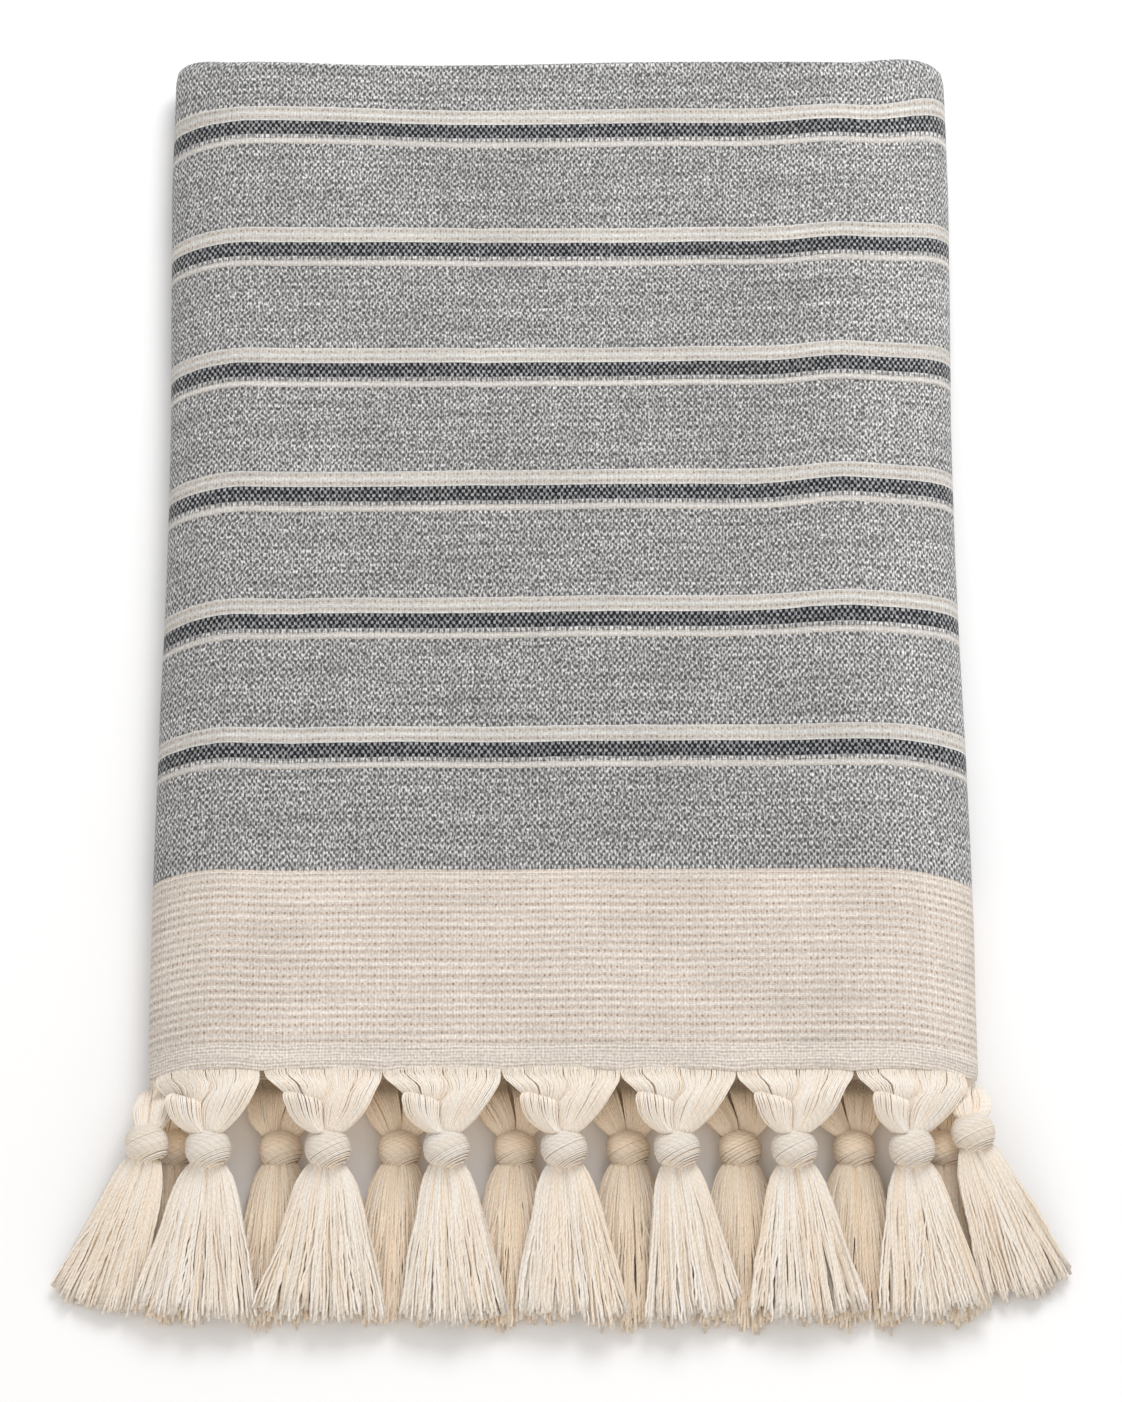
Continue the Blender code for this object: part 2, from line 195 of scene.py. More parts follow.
# Legs of a tassel, in groups from the left. An edge is (share of the way from hem to knot, left and right
# edge in millimetres from the line between them); lift is how far the group rises there, in millimetres.
frontLegs = (
    dict(
        lobe="left",
        lift=((0.0, 0.0), (0.28, 0.4), (0.44, -1.6), (1.0, -1.4)),
        edges=(
            (0.0, -23.3, -15.2), (0.15, -21.6, -13.4), (0.30, -18.4, -10.6), (0.40, -15.6, -9.6),
            (0.50, -14.8, -8.6), (0.66, -14.0, -7.5), (0.83, -11.6, -5.0), (1.0, -5.4, -2.6),
        ),
    ),
    dict(
        lobe="left",
        lift=((0.0, 0.0), (0.34, 0.5), (0.52, -1.4), (1.0, -1.2)),
        edges=(
            (0.0, -14.4, -0.1), (0.15, -12.6, 0.7), (0.30, -9.6, 1.3), (0.40, -8.8, 0.7),
            (0.48, -8.2, -0.6), (0.56, -7.8, -2.0), (0.75, -6.0, -2.0), (1.0, -3.2, -1.3),
        ),
    ),
    dict(
        lobe="curl",  # comes out from under the left lobe and rolls over it
        round=1.35,
        begin=(0.34, 0.50),
        lift=((0.0, -2.6), (0.08, -0.7), (0.18, 0.7), (0.40, 1.4), (1.0, 0.2)),
        edges=(
            (0.34, -13.4, -5.6), (0.40, -15.6, -4.0), (0.46, -16.5, -2.6), (0.60, -16.0, -1.8),
            (0.75, -14.4, -1.8), (0.87, -11.4, -1.6), (1.0, -5.0, -1.0),
        ),
    ),
    dict(
        lobe="right",
        lift=((0.0, 0.0), (0.4, -0.2), (1.0, 0.0)),
        edges=(
            (0.0, 0.8, 12.8), (0.15, 1.3, 12.4), (0.30, 2.5, 11.3), (0.40, 2.5, 10.1),
            (0.48, 0.4, 9.3), (0.60, -1.4, 7.9), (0.75, -1.9, 5.6), (1.0, -1.2, 1.8),
        ),
    ),
    dict(
        lobe="right",
        lift=((0.0, 0.0), (0.4, 0.3), (1.0, 0.2)),
        edges=(
            (0.0, 13.5, 22.9), (0.15, 13.2, 22.3), (0.30, 12.0, 20.6), (0.42, 9.9, 19.0), (0.50, 9.1, 17.9),
            (0.60, 8.0, 16.2), (0.75, 5.6, 12.8), (0.87, 3.6, 9.2), (1.0, 1.8, 4.8),
        ),
    ),
)
outerLift = ((0.0, 0.0), (0.30, 3.4), (0.60, 2.2), (1.0, 0.0))
innerLift = ((0.0, 0.0), (0.30, 4.2), (0.60, 2.6), (1.0, 0.0))
backLegs = (
    dict(
        lobe="left",
        lift=outerLift,
        edges=(
            (0.0, -21.0, -11.8), (0.25, -17.8, -9.5), (0.50, -15.2, -7.0),
            (0.75, -12.2, -4.6), (1.0, -6.0, -2.6),
        ),
    ),
    dict(
        lobe="left",
        lift=innerLift,
        edges=(
            (0.0, -11.4, -0.8), (0.25, -9.2, -0.9), (0.50, -6.8, -0.8), (0.75, -4.6, -0.6), (1.0, -2.8, -0.5),
        ),
    ),
    dict(
        lobe="right",
        lift=innerLift,
        edges=((0.0, 0.6, 11.2), (0.25, 1.0, 9.4), (0.50, 0.6, 7.0), (0.75, 0.2, 4.8), (1.0, 0.0, 2.8)),
    ),
    dict(
        lobe="right",
        lift=outerLift,
        edges=((0.0, 11.6, 21.0), (0.25, 9.7, 17.8), (0.50, 7.2, 15.0), (0.75, 4.9, 12.0), (1.0, 2.7, 6.0)),
    ),
)
leftLegs = (
    dict(
        lobe="outer",
        lift=((0.0, 0.0), (0.5, 0.4), (1.0, 0.0)),
        edges=(
            (0.0, -12.0, -4.2), (0.30, -5.4, -1.6), (0.55, -6.6, -2.2), (0.80, -6.4, -1.8), (1.0, -4.6, -0.8),
        ),
    ),
    dict(
        lobe="outer",
        lift=((0.0, -0.2), (0.5, -0.8), (1.0, -0.4)),
        edges=((0.0, -5.4, 0.6), (0.30, -2.6, 0.6), (0.55, -2.8, 0.2), (0.80, -2.4, 0.2), (1.0, -1.4, 0.2)),
    ),
    dict(
        lobe="inner",
        lift=((0.0, 0.0), (0.5, 0.6), (1.0, 0.0)),
        edges=((0.0, 1.2, 12.0), (0.30, 1.2, 9.8), (0.55, 1.4, 10.4), (0.80, 0.8, 8.8), (1.0, 0.2, 5.4)),
    ),
)
rightLegs = tuple(
    dict(group, edges=tuple((share, -right, -left) for share, left, right in group["edges"]))
    for group in reversed(leftLegs)
)

# Each row: how far its knots hang from the hem, how high they lie, its skirt's length and heights, and the
# way its legs go from the hem's height to the knot's.
rows = dict(
    front=dict(
        knotOut=0.0295, knotZ=0.0230, heights=(0.0188, 0.0146, 0.0094), skirt=0.0560, legs=frontLegs,
        legZ=((0.0, 0.0), (0.2, 0.02), (0.5, 0.18), (0.75, 0.5), (1.0, 0.78)), fat=1.0, shade=0.0,
    ),
    left=dict(
        knotOut=0.0275, knotZ=0.0218, heights=(0.0188, 0.0135, 0.0034), skirt=0.0555, legs=leftLegs,
        legZ=((0.0, 0.0), (0.3, 0.3), (0.6, 0.7), (1.0, 1.0)), fat=0.85, shade=0.1,
    ),
    right=dict(
        knotOut=0.0230, knotZ=0.0218, heights=(0.0188, 0.0135, 0.0034), skirt=0.0555, legs=rightLegs,
        legZ=((0.0, 0.0), (0.3, 0.3), (0.6, 0.7), (1.0, 1.0)), fat=0.85, shade=0.1,
    ),
    back=dict(
        knotOut=0.0265, knotZ=0.0074, heights=(0.0060, 0.0046, 0.0030), skirt=0.0590, legs=backLegs,
        legZ=((0.0, 0.0), (0.3, 0.25), (0.6, 0.6), (1.0, 0.95)), fat=0.85, shade=0.45,
    ),
)

yarn = dict(
    legPitch=0.00062,  # between yarns where they leave the hem
    legRadius=0.00044,
    legPoints=17,
    legLayers=((1.0, 0.0), (0.72, 0.30)),  # height on the leg's round back and shade
    legThick=0.0027,  # half thickness of a leg's round back
    legThin=0.0002,  # the same at the hem
    legThicken=(0.06, 0.60),  # share of the way over which it thickens
    legSpread=0.8,  # share of the way where a leg has its own width again
    legSway=0.35,  # millimetres, of a whole leg
    legLoose=(0.16, 0.09),  # millimetres, of one yarn
    legRoot=0.0012,  # how far a yarn starts inside the cloth
    rootLift=0.00015,
    legFree=0.30,  # share of the way where a yarn has left the hem's line
    bedPitch=0.0010,  # of the yarns that lie under all the legs
    bedRadius=0.00062,
    bedPoints=9,
    bedLayers=((0.15, 0.3), (-0.70, 0.5)),
    bedInset=0.8,  # millimetres inside the legs' edges
    legPale=0.5,  # how much of its tassel's painted shade a leg shows
    skirtRadius=0.00058,
    # Yarns, points, height in the bundle, how shaded, how much longer, how far drawn into locks and how thick
    skirtLayers=(
        (40, 25, 0.98, 0.0, 0.0, 0.34, 1.0),
        (46, 12, 0.87, 0.12, 0.0003, 0.10, 1.12),
        (38, 8, 0.60, 0.40, 0.0004, 0.0, 1.45),
        (28, 8, -0.20, 0.4, 0.0006, 0.0, 1.6),
        (22, 8, -0.92, 0.5, 0.0014, 0.2, 1.0),
    ),
    skirtLocks=11,
    skirtThick=((0.0, 0.0044), (0.36, 0.0038), (1.0, 0.0022)),  # half thickness along the skirt
    wave=(0.00020, 0.00075),  # of a yarn's slow bends, least and most
    crimp=(0.00008, 0.00034),  # of the top yarns' fine bends
    shortSides=0.0030,  # how much shorter the skirt is at its sides
    parting=0.0011,  # depth of the groove below the knot
    partingWidth=0.09,  # as a share of the skirt's half width
    straying=0.8,  # share of the yarns that stray little
    stray=(0.06, 0.20),  # of these and of the others, as a share of the half width
    ragged=0.0013,
    wrapRadius=0.00045,
    wraps=25,
    wrapSlant=26.0,
    wrapPoints=26,
    knotPaintedShade=0.12,  # knots are painted a little darker than the yarns, as shade among their wraps
    knot=(0.0094, 0.0085, 0.0074),  # half sizes, across, along and up
    knotSquare=2.2,  # 2 is a ball
    tuck=((-0.45, 0.17), (-0.86, 0.16)),  # the dent at the knot's lower left, place and width
    tuckDepth=0.09,
    legsIn=0.0046,  # from the knot's middle to where the legs end
    neck=0.0058,  # half width of the skirt where it leaves the knot
    neckOut=0.0048,
    skirtFrom=0.0086,  # below the knot's middle, where a skirt's length is counted from
    clear=0.0001,  # between the lowest yarns and the table
    scallop=0.0010,  # how much lower the hem hangs between two tassels
    scallopWidth=0.0055,
)


def hemEdges():
    # Where one tassel's yarns end and the next one's begin, along the hem.
    spans = []
    for tassel in tassels.values():
        place, gathered = tassel[1:3]
        spans.append((place - gathered / 2, place + gathered / 2))
    spans.sort()
    return [(a[1] + b[0]) / 2 for a, b in zip(spans, spans[1:])]


edgePlaces = hemEdges()


def hemScallop(place):
    return sum(yarn["scallop"] * swell(place, edge, yarn["scallopWidth"]) for edge in edgePlaces)


def hemPoint(place):
    station = stationAt(place)
    x, z = sectionPoint(station, 0.0)
    return unevenPoint(x, fold["hemY"] + hemRecess(station) - hemScallop(place), z)


# Short ways to lay out shader nodes.
def addNode(tree, kind, **settings):
    node = tree.nodes.new(kind)
    for name, value in settings.items():
        setattr(node, name, value)
    return node


def feed(tree, value, socket):
    if isinstance(value, bpy.types.NodeSocket):
        tree.links.new(value, socket)
    else:
        socket.default_value = value


def calc(tree, operation, *values, clamp=False):
    node = addNode(tree, "ShaderNodeMath", operation=operation, use_clamp=clamp)
    for value, socket in zip(values, node.inputs):
        feed(tree, value, socket)
    return node.outputs[0]


def times(tree, first, *others):
    for other in others:
        first = calc(tree, "MULTIPLY", first, other)
    return first


def plus(tree, first, *others):
    for other in others:
        first = calc(tree, "ADD", first, other)
    return first


def minus(tree, first, second):
    return calc(tree, "SUBTRACT", first, second)


def wave(tree, operation, value, turns):
    # A sine or cosine that turns once where value grows by one over turns.
    return calc(tree, operation, times(tree, value, turns * math.tau))


def ramped(tree, value, low, high, toLow=0.0, toHigh=1.0):
    node = addNode(tree, "ShaderNodeMapRange", interpolation_type="SMOOTHSTEP")
    for socket, given in zip(node.inputs, (value, low, high, toLow, toHigh)):
        feed(tree, given, socket)
    return node.outputs[0]


def mixColour(tree, factor, first, second, blend="MIX"):
    node = addNode(tree, "ShaderNodeMix", data_type="RGBA", blend_type=blend)
    for index, value in ((0, factor), (6, first), (7, second)):
        feed(tree, value, node.inputs[index])
    return node.outputs[2]


def shaded(tree, colour, tone):
    return mixColour(tree, 1.0, colour, tone, "MULTIPLY")


def noiseAt(tree, place, scale, detail=1.0):
    node = addNode(tree, "ShaderNodeTexNoise")
    feed(tree, place, node.inputs["Vector"])
    node.inputs["Scale"].default_value = scale
    node.inputs["Detail"].default_value = detail
    return node


def stretched(tree, place, across, along):
    node = addNode(tree, "ShaderNodeMapping")
    feed(tree, place, node.inputs["Vector"])
    node.inputs["Scale"].default_value = (across, along, 1.0)
    return node.outputs[0]


def streaks(tree, place, scale, weakest, strongest):
    # Noise drawn out along one thread, as a tone.
    noisy = noiseAt(tree, stretched(tree, place, *scale), 1.0, 2.0)
    return ramped(tree, noisy.outputs[0], 0.3, 0.7, weakest, strongest)


def swings(tree, noisy):
    # A noise's three channels, each round nought.
    split = addNode(tree, "ShaderNodeSeparateColor")
    tree.links.new(noisy.outputs[1], split.inputs[0])
    return [minus(tree, out, 0.5) for out in split.outputs[:3]]


def newGroup(name, inputs, outputs):
    tree = bpy.data.node_groups.new(name, "ShaderNodeTree")
    for way, sockets in (("INPUT", inputs), ("OUTPUT", outputs)):
        for label in sockets:
            kind = "NodeSocketVector" if label == "Place" else "NodeSocketFloat"
            tree.interface.new_socket(label, in_out=way, socket_type=kind)
    return tree, addNode(tree, "NodeGroupInput"), addNode(tree, "NodeGroupOutput")


def placeGroup(tree, group, **values):
    node = addNode(tree, "ShaderNodeGroup", node_tree=group)
    for name, value in values.items():
        feed(tree, value, node.inputs[name])
    return node


def newMaterial(name, roughness, sheen):
    material = bpy.data.materials.new(name)
    material.use_nodes = True
    tree = material.node_tree
    surface = tree.nodes["Principled BSDF"]
    surface.inputs["Roughness"].default_value = roughness
    surface.inputs["Sheen Weight"].default_value = sheen
    surface.inputs["Sheen Roughness"].default_value = 0.45
    surface.inputs["Specular IOR Level"].default_value = 0.25
    return material, tree, surface


def bumped(tree, height, distance):
    node = addNode(tree, "ShaderNodeBump")
    node.inputs["Strength"].default_value = 1.0
    node.inputs["Distance"].default_value = distance
    feed(tree, height, node.inputs["Height"])
    return node.outputs[0]


def cottonFuzz():
    # Loose fibres: a fine mottle that cloth and yarns share.
    tree, start, end = newGroup("cottonFuzz", ["Place", "Grain", "Depth"], ["Tone", "Height"])
    fine = addNode(tree, "ShaderNodeTexNoise")
    feed(tree, start.outputs["Place"], fine.inputs["Vector"])
    feed(tree, start.outputs["Grain"], fine.inputs["Scale"])
    fine.inputs["Detail"].default_value = 2.0
    swing = times(tree, minus(tree, fine.outputs[0], 0.5), start.outputs["Depth"])
    feed(tree, plus(tree, swing, 1.0), end.inputs["Tone"])
    feed(tree, fine.outputs[0], end.inputs["Height"])
    return tree


fuzzGroup = cottonFuzz()

# The cloth's weave: lengths along the flat cloth in metres, colours as linear light.
weave = dict(
    warpPitch=0.00243,
    bandEnd=0.0811,  # cream band at each end
    bandRow=0.00165,
    firstStripe=0.1268,
    repeat=0.0569,
    flatLength=1.67,
    hemStrip=0.0112,
    hemRow=0.00125,
    rows=36,  # of weft in a repeat
    bandRows=28,  # from the band to the first stripe
    # Rows of weft where each part of a repeat ends, after (share of the repeat, rows so far)
    rowPlan=((0.0, 0), (0.0475, 2), (0.0826, 3), (0.1968, 7), (0.3199, 11), (1.0, 36)),
    cream=(0.625, 0.555, 0.485),
    creamLight=(0.765, 0.708, 0.645),
    stripeTint=(0.87, 0.93, 0.98),  # the narrow cream stripes are cooler than the band
    # colour of the painted shade in the holes and between threads on cream
    hole=(0.33, 0.215, 0.140),
    warp=(0.480, 0.475, 0.465),
    greyWeft=(0.090, 0.088, 0.086),
    lineWeft=(0.115, 0.111, 0.107),
    darkWeft=(0.0045, 0.0065, 0.0110),
    floatSize=0.22,
    floatEdge=0.36,
    darkCover=0.30,  # how much more of its warp the dark weft covers
    darkEdge=0.08,
    darkWarp=0.35,
    glint=(1050.0, 760.0),  # threads of uneven brightness, per metre across and along
    warpGlint=(0.58, 1.45),
    weftGlint=(0.75, 1.50),
    creamGlint=(0.86, 1.10),
    threadGapShade=0.66,  # painted shade in the line between two warps, and at a row's edge
    # how dark the painted shade in the holes is
    holeShade=0.78,
    streakAlong=((380.0, 9.0), 0.94, 1.06),
    streakAcross=((14.0, 520.0), 0.83, 1.17),
    creamCalm=0.55,  # how much weaker the streaks are on cream
    rightPaintedLight=1.18,  # painted light: tone of the right shoulder, which is lit more
    rightEdge=(0.10, 0.15),
    creamLessPaintedLight=0.14,  # how much less of that painted light shows on cream
    leftPaintedTone=1.03,  # painted tone of the left side, a little lighter on grey
    leftEdge=(-0.165, -0.115),
    # how much darker the left side is painted on cream, as painted shade
    creamLeftPaintedShade=0.08,
    mottle=(0.96, 1.04),
    fuzz=(1400.0, 0.50),  # grain per metre, and depth
    bump=0.00011,
)


def plainWeave():
    # Floats of a plain weave: ovals of weft between warps, alternate rows half a step over.
    tree, start, end = newGroup(
        "plainWeave", ["Across", "Row", "Place", "Wander"], ["Weft", "Height", "Warp Wave", "Row", "Across"]
    )
    place, wander = start.outputs["Place"], start.outputs["Wander"]
    wide = swings(tree, noiseAt(tree, place, 95.0, 2.0))
    warps = swings(tree, noiseAt(tree, stretched(tree, place, 460.0, 250.0), 1.0))
    wefts = swings(tree, noiseAt(tree, stretched(tree, place, 210.0, 460.0), 1.0))
    sway = plus(tree, times(tree, wide[0], 1.2), times(tree, warps[0], 0.95))
    lift = plus(tree, times(tree, wide[1], 0.5), times(tree, wefts[1], 0.75))
    across = plus(tree, start.outputs["Across"], times(tree, sway, wander))
    row = plus(tree, start.outputs["Row"], times(tree, lift, wander))
    warpWave = wave(tree, "COSINE", across, 1.0)
    rowWave = wave(tree, "SINE", row, 0.5)
    product = times(tree, warpWave, rowWave)
    weft = minus(tree, product, times(tree, rowWave, 0.13))  # every other row has smaller floats
    weft = plus(tree, weft, times(tree, warps[2], 1.1))
    height = calc(tree, "POWER", calc(tree, "ABSOLUTE", product), 0.6)
    made = {"Weft": weft, "Height": height, "Warp Wave": warpWave, "Row": row, "Across": across}
    for name, value in made.items():
        feed(tree, value, end.inputs[name])
    return tree


plainGroup = plainWeave()


def rgba(colour):
    return (*colour, 1.0)


def stepRamp(tree, source, stops, interpolation="CONSTANT"):
    # A ramp of (position, colour) stops, read at the source.
    node = addNode(tree, "ShaderNodeValToRGB")
    ramp = node.color_ramp
    ramp.interpolation = interpolation
    while len(ramp.elements) > 1:
        ramp.elements.remove(ramp.elements[-1])
    ramp.elements[0].position = stops[0][0]
    ramp.elements[0].color = rgba(stops[0][1])
    for position, colour in stops[1:]:
        ramp.elements.new(position).color = rgba(colour)
    tree.links.new(source, node.inputs[0])
    return node.outputs[0]


def wovenThreads(tree, place, u, v):
    # The plain weave over the whole cloth, its rows counted from the first stripe.
    repeats = calc(tree, "DIVIDE", minus(tree, v, weave["firstStripe"]), weave["repeat"])
    whole = calc(tree, "FLOOR", repeats)
    partOf = minus(tree, repeats, whole)
    plan = [(share, [count / weave["rows"]] * 3) for share, count in weave["rowPlan"]]
    planned = stepRamp(tree, partOf, plan, "LINEAR")
    stripeRow = times(tree, plus(tree, planned, whole), weave["rows"])
    bandRow = calc(tree, "DIVIDE", v, weave["bandRow"])
    inBand = calc(tree, "LESS_THAN", v, weave["bandEnd"])
    bandOffset = weave["bandEnd"] / weave["bandRow"] + weave["bandRows"]
    rowMix = addNode(tree, "ShaderNodeMix", data_type="FLOAT")
    for index, value in ((0, inBand), (2, stripeRow), (3, minus(tree, bandRow, bandOffset))):
        feed(tree, value, rowMix.inputs[index])
    # Threads wander less in the stripes and least in the band.
    loose = ramped(tree, partOf, 0.30, 0.38, 0.35, 1.0)
    loose = times(tree, loose, minus(tree, 1.0, times(tree, inBand, 0.7)))
    warpCount = calc(tree, "DIVIDE", u, weave["warpPitch"])
    return placeGroup(tree, plainGroup, Across=warpCount, Row=rowMix.outputs[0], Place=place, Wander=loose)


def weftStripes(tree, threads):
    # Stripe colours by whole rows, so that a stripe's edge has the teeth of its floats.
    rowNumber = calc(tree, "FLOOR", threads.outputs["Row"])
    rowShare = calc(tree, "FRACT", calc(tree, "DIVIDE", plus(tree, rowNumber, 0.5), weave["rows"]))
    edges = [rows / weave["rows"] for share, rows in weave["rowPlan"][:-1]]
    weftNames = ("creamLight", "lineWeft", "darkWeft", "creamLight", "greyWeft")
    stripes = stepRamp(tree, rowShare, [(edge, weave[name]) for edge, name in zip(edges, weftNames)])
    kinds = (1.0, 0.0, 0.5, 1.0, 0.0)  # 1 on cream rows, 0.5 on dark ones
    rowKind = stepRamp(tree, rowShare, [(edge, [kind] * 3) for edge, kind in zip(edges, kinds)])
    beforeStripes = calc(tree, "LESS_THAN", threads.outputs["Row"], 0.0)
    band = calc(tree, "LESS_THAN", threads.outputs["Row"], -weave["bandRows"])
    weftColour = mixColour(tree, beforeStripes, stripes, rgba(weave["greyWeft"]))
    weftColour = mixColour(tree, band, weftColour, rgba(weave["creamLight"]))
    amongStripes = minus(tree, 1.0, beforeStripes)
    creamRow = times(tree, calc(tree, "GREATER_THAN", rowKind, 0.75), amongStripes)
    isCream = calc(tree, "MAXIMUM", creamRow, band)
    isDark = times(tree, calc(tree, "COMPARE", rowKind, 0.5, 0.1), amongStripes)
    return weftColour, isCream, isDark, band


def creamWeave(tree, place, v, threads, pairLine, rowEdge):
    # Cream rows: light weft ridges, rows of small holes between them and fine warp lines; the holes, the
    # lines between warps and the rows' edges are painted shade.
    pair = wave(tree, "COSINE", threads.outputs["Row"], 0.5)
    ridge = ramped(tree, times(tree, pair, -1.0), 0.1, 0.95)
    gapAcross = ramped(tree, threads.outputs["Warp Wave"], 0.25, 0.85)
    gapAlong = ramped(tree, pair, 0.45, 0.95)
    wear = ramped(tree, noiseAt(tree, place, 260.0).outputs[0], 0.34, 0.62)
    inStrip = calc(tree, "LESS_THAN", v, weave["hemStrip"])
    hole = times(tree, gapAcross, gapAlong, wear, minus(tree, 1.0, inStrip))
    # The hem's own strip is a plain, rippled weave of fine rows.
    ripple = times(tree, minus(tree, noiseAt(tree, place, 130.0).outputs[0], 0.5), 5.0)
    hemRow = calc(tree, "SINE", plus(tree, times(tree, v, math.tau / weave["hemRow"]), ripple))
    ridge = mixColour(tree, inStrip, ridge, ramped(tree, hemRow, -0.9, 0.9))
    creamColour = mixColour(tree, ridge, rgba(weave["cream"]), rgba(weave["creamLight"]))
    # Painted shade in the lines between warps, at the rows' edges and in the holes.
    for mask in (
        ramped(tree, pairLine, -0.2, 1.0, 0.0, 0.20),
        ramped(tree, rowEdge, 0.0, 1.0, 0.0, 0.14),
        times(tree, hole, weave["holeShade"]),
    ):
        creamColour = mixColour(tree, mask, creamColour, rgba(weave["hole"]))
    return creamColour, ridge, hole


def clothTone(tree, place, u, isCream):
    # Streaks along both threads and a slow mottle. Cream parts are evener.
    calm = minus(tree, 1.0, times(tree, isCream, weave["creamCalm"]))
    warpTone, weftTone = (
        plus(tree, 1.0, times(tree, minus(tree, streaks(tree, place, *weave[name]), 1.0), calm))
        for name in ("streakAlong", "streakAcross")
    )
    # Painted light and shade: the right shoulder is painted lighter, less so on cream, and the left side is
    # painted a little lighter on grey and darker on cream.
    paintedLightRight = minus(tree, weave["rightPaintedLight"], times(tree, isCream, weave["creamLessPaintedLight"]))
    paintedToneLeft = minus(tree, weave["leftPaintedTone"], times(tree, isCream, weave["creamLeftPaintedShade"]))
    sides = times(
        tree,
        ramped(tree, u, *weave["rightEdge"], 1.0, paintedLightRight),
        ramped(tree, u, *weave["leftEdge"], paintedToneLeft, 1.0),
    )
    mottle = ramped(tree, noiseAt(tree, place, 22.0, 2.0).outputs[0], 0.3, 0.7, *weave["mottle"])
    grain, depth = weave["fuzz"]
    fuzz = placeGroup(tree, fuzzGroup, Place=place, Grain=grain, Depth=depth)
    tone = times(tree, times(tree, warpTone, sides), weftTone, times(tree, mottle, fuzz.outputs["Tone"]))
    return tone, fuzz.outputs["Height"]


def clothMaterial():
    material, tree, surface = newMaterial("towelCloth", 0.92, 0.12)
    place = addNode(tree, "ShaderNodeUVMap", uv_map="clothPlace").outputs[0]
    split = addNode(tree, "ShaderNodeSeparateXYZ")
    tree.links.new(place, split.inputs[0])
    u, v = split.outputs[0], split.outputs[1]
    # The far end is tucked inside and mirrors the near one.
    v = calc(tree, "MINIMUM", v, minus(tree, weave["flatLength"], v))
    threads = wovenThreads(tree, place, u, v)
    weftColour, isCream, isDark, band = weftStripes(tree, threads)
    size = minus(tree, weave["floatSize"], times(tree, isDark, weave["darkCover"]))
    soft = plus(tree, weave["floatEdge"], times(tree, isDark, weave["darkEdge"]))
    floats = ramped(tree, threads.outputs["Weft"], minus(tree, size, soft), plus(tree, size, soft))

    # Threads of uneven brightness, more so in the warp's floats.
    glint = noiseAt(tree, stretched(tree, place, *weave["glint"]), 1.0, 0.0).outputs[0]
    warpColour = shaded(tree, rgba(weave["warp"]), ramped(tree, glint, 0.30, 0.70, *weave["warpGlint"]))
    weftColour = shaded(tree, weftColour, ramped(tree, glint, 0.30, 0.70, *weave["weftGlint"]))
    # Warps go in pairs: painted shade in the line between the two, and a painted dip at each row's edge.
    pairLine = wave(tree, "COSINE", threads.outputs["Across"], 2.0)
    rowEdge = wave(tree, "COSINE", threads.outputs["Row"], 1.0)
    lines = times(
        tree,
        ramped(tree, pairLine, 0.1, 1.0, 1.0, weave["threadGapShade"]),
        ramped(tree, rowEdge, 0.0, 1.0, 1.0, weave["threadGapShade"]),
    )
    warpColour = shaded(tree, warpColour, lines)
    warpColour = mixColour(tree, times(tree, isDark, weave["darkWarp"]), warpColour, rgba(weave["darkWeft"]))
    woven = mixColour(tree, floats, warpColour, weftColour)

    creamColour, ridge, hole = creamWeave(tree, place, v, threads, pairLine, rowEdge)
    creamColour = shaded(tree, creamColour, ramped(tree, glint, 0.30, 0.70, *weave["creamGlint"]))
    stripeColour = shaded(tree, creamColour, rgba(weave["stripeTint"]))
    creamColour = mixColour(tree, band, stripeColour, creamColour)
    colour = mixColour(tree, isCream, woven, creamColour)
    tone, fuzzHeight = clothTone(tree, place, u, isCream)
    tree.links.new(shaded(tree, colour, tone), surface.inputs["Base Color"])

    height = plus(tree, threads.outputs["Height"], times(tree, ridge, isCream, 0.9))
    height = minus(tree, height, times(tree, hole, isCream, 1.4))
    height = plus(tree, height, times(tree, fuzzHeight, 0.5))
    tree.links.new(bumped(tree, height, weave["bump"]), surface.inputs["Normal"])
    return material


# The cloth's own unevenness, on top of the fold.
clothLook = dict(
    columns=(26, 15, 9, 14),  # top flat, shoulder, underside and back, for one half
    hemZone=0.014,  # finer rows this far from the hem
    hemRows=14,
    topRows=108,
    innerRows=34,
    turnRows=6,
    pucker=0.00028,
    sag=0.0006,
    groove=0.0007,  # where the hem's strip begins
    grooveWidth=0.0011,
    hemRipple=0.0005,
    hemThin=0.35,  # thickness at the very hem, as a share
    hemThinning=0.0030,
    # Soft creases on the top: x, y at both ends, half width and height
    creases=(
        (-0.036, 0.200, -0.034, 0.123, 0.0032, -0.0007),
        (-0.029, 0.115, -0.026, 0.055, 0.0030, -0.0005),
        (0.075, 0.180, 0.073, 0.115, 0.0035, -0.0005),
        (-0.110, 0.010, -0.109, -0.045, 0.0035, -0.0006),
        (0.034, -0.041, 0.047, -0.057, 0.0028, 0.0009),
        (0.012, 0.025, 0.016, -0.025, 0.0040, -0.0004),
    ),
    creaseFade=0.012,
)


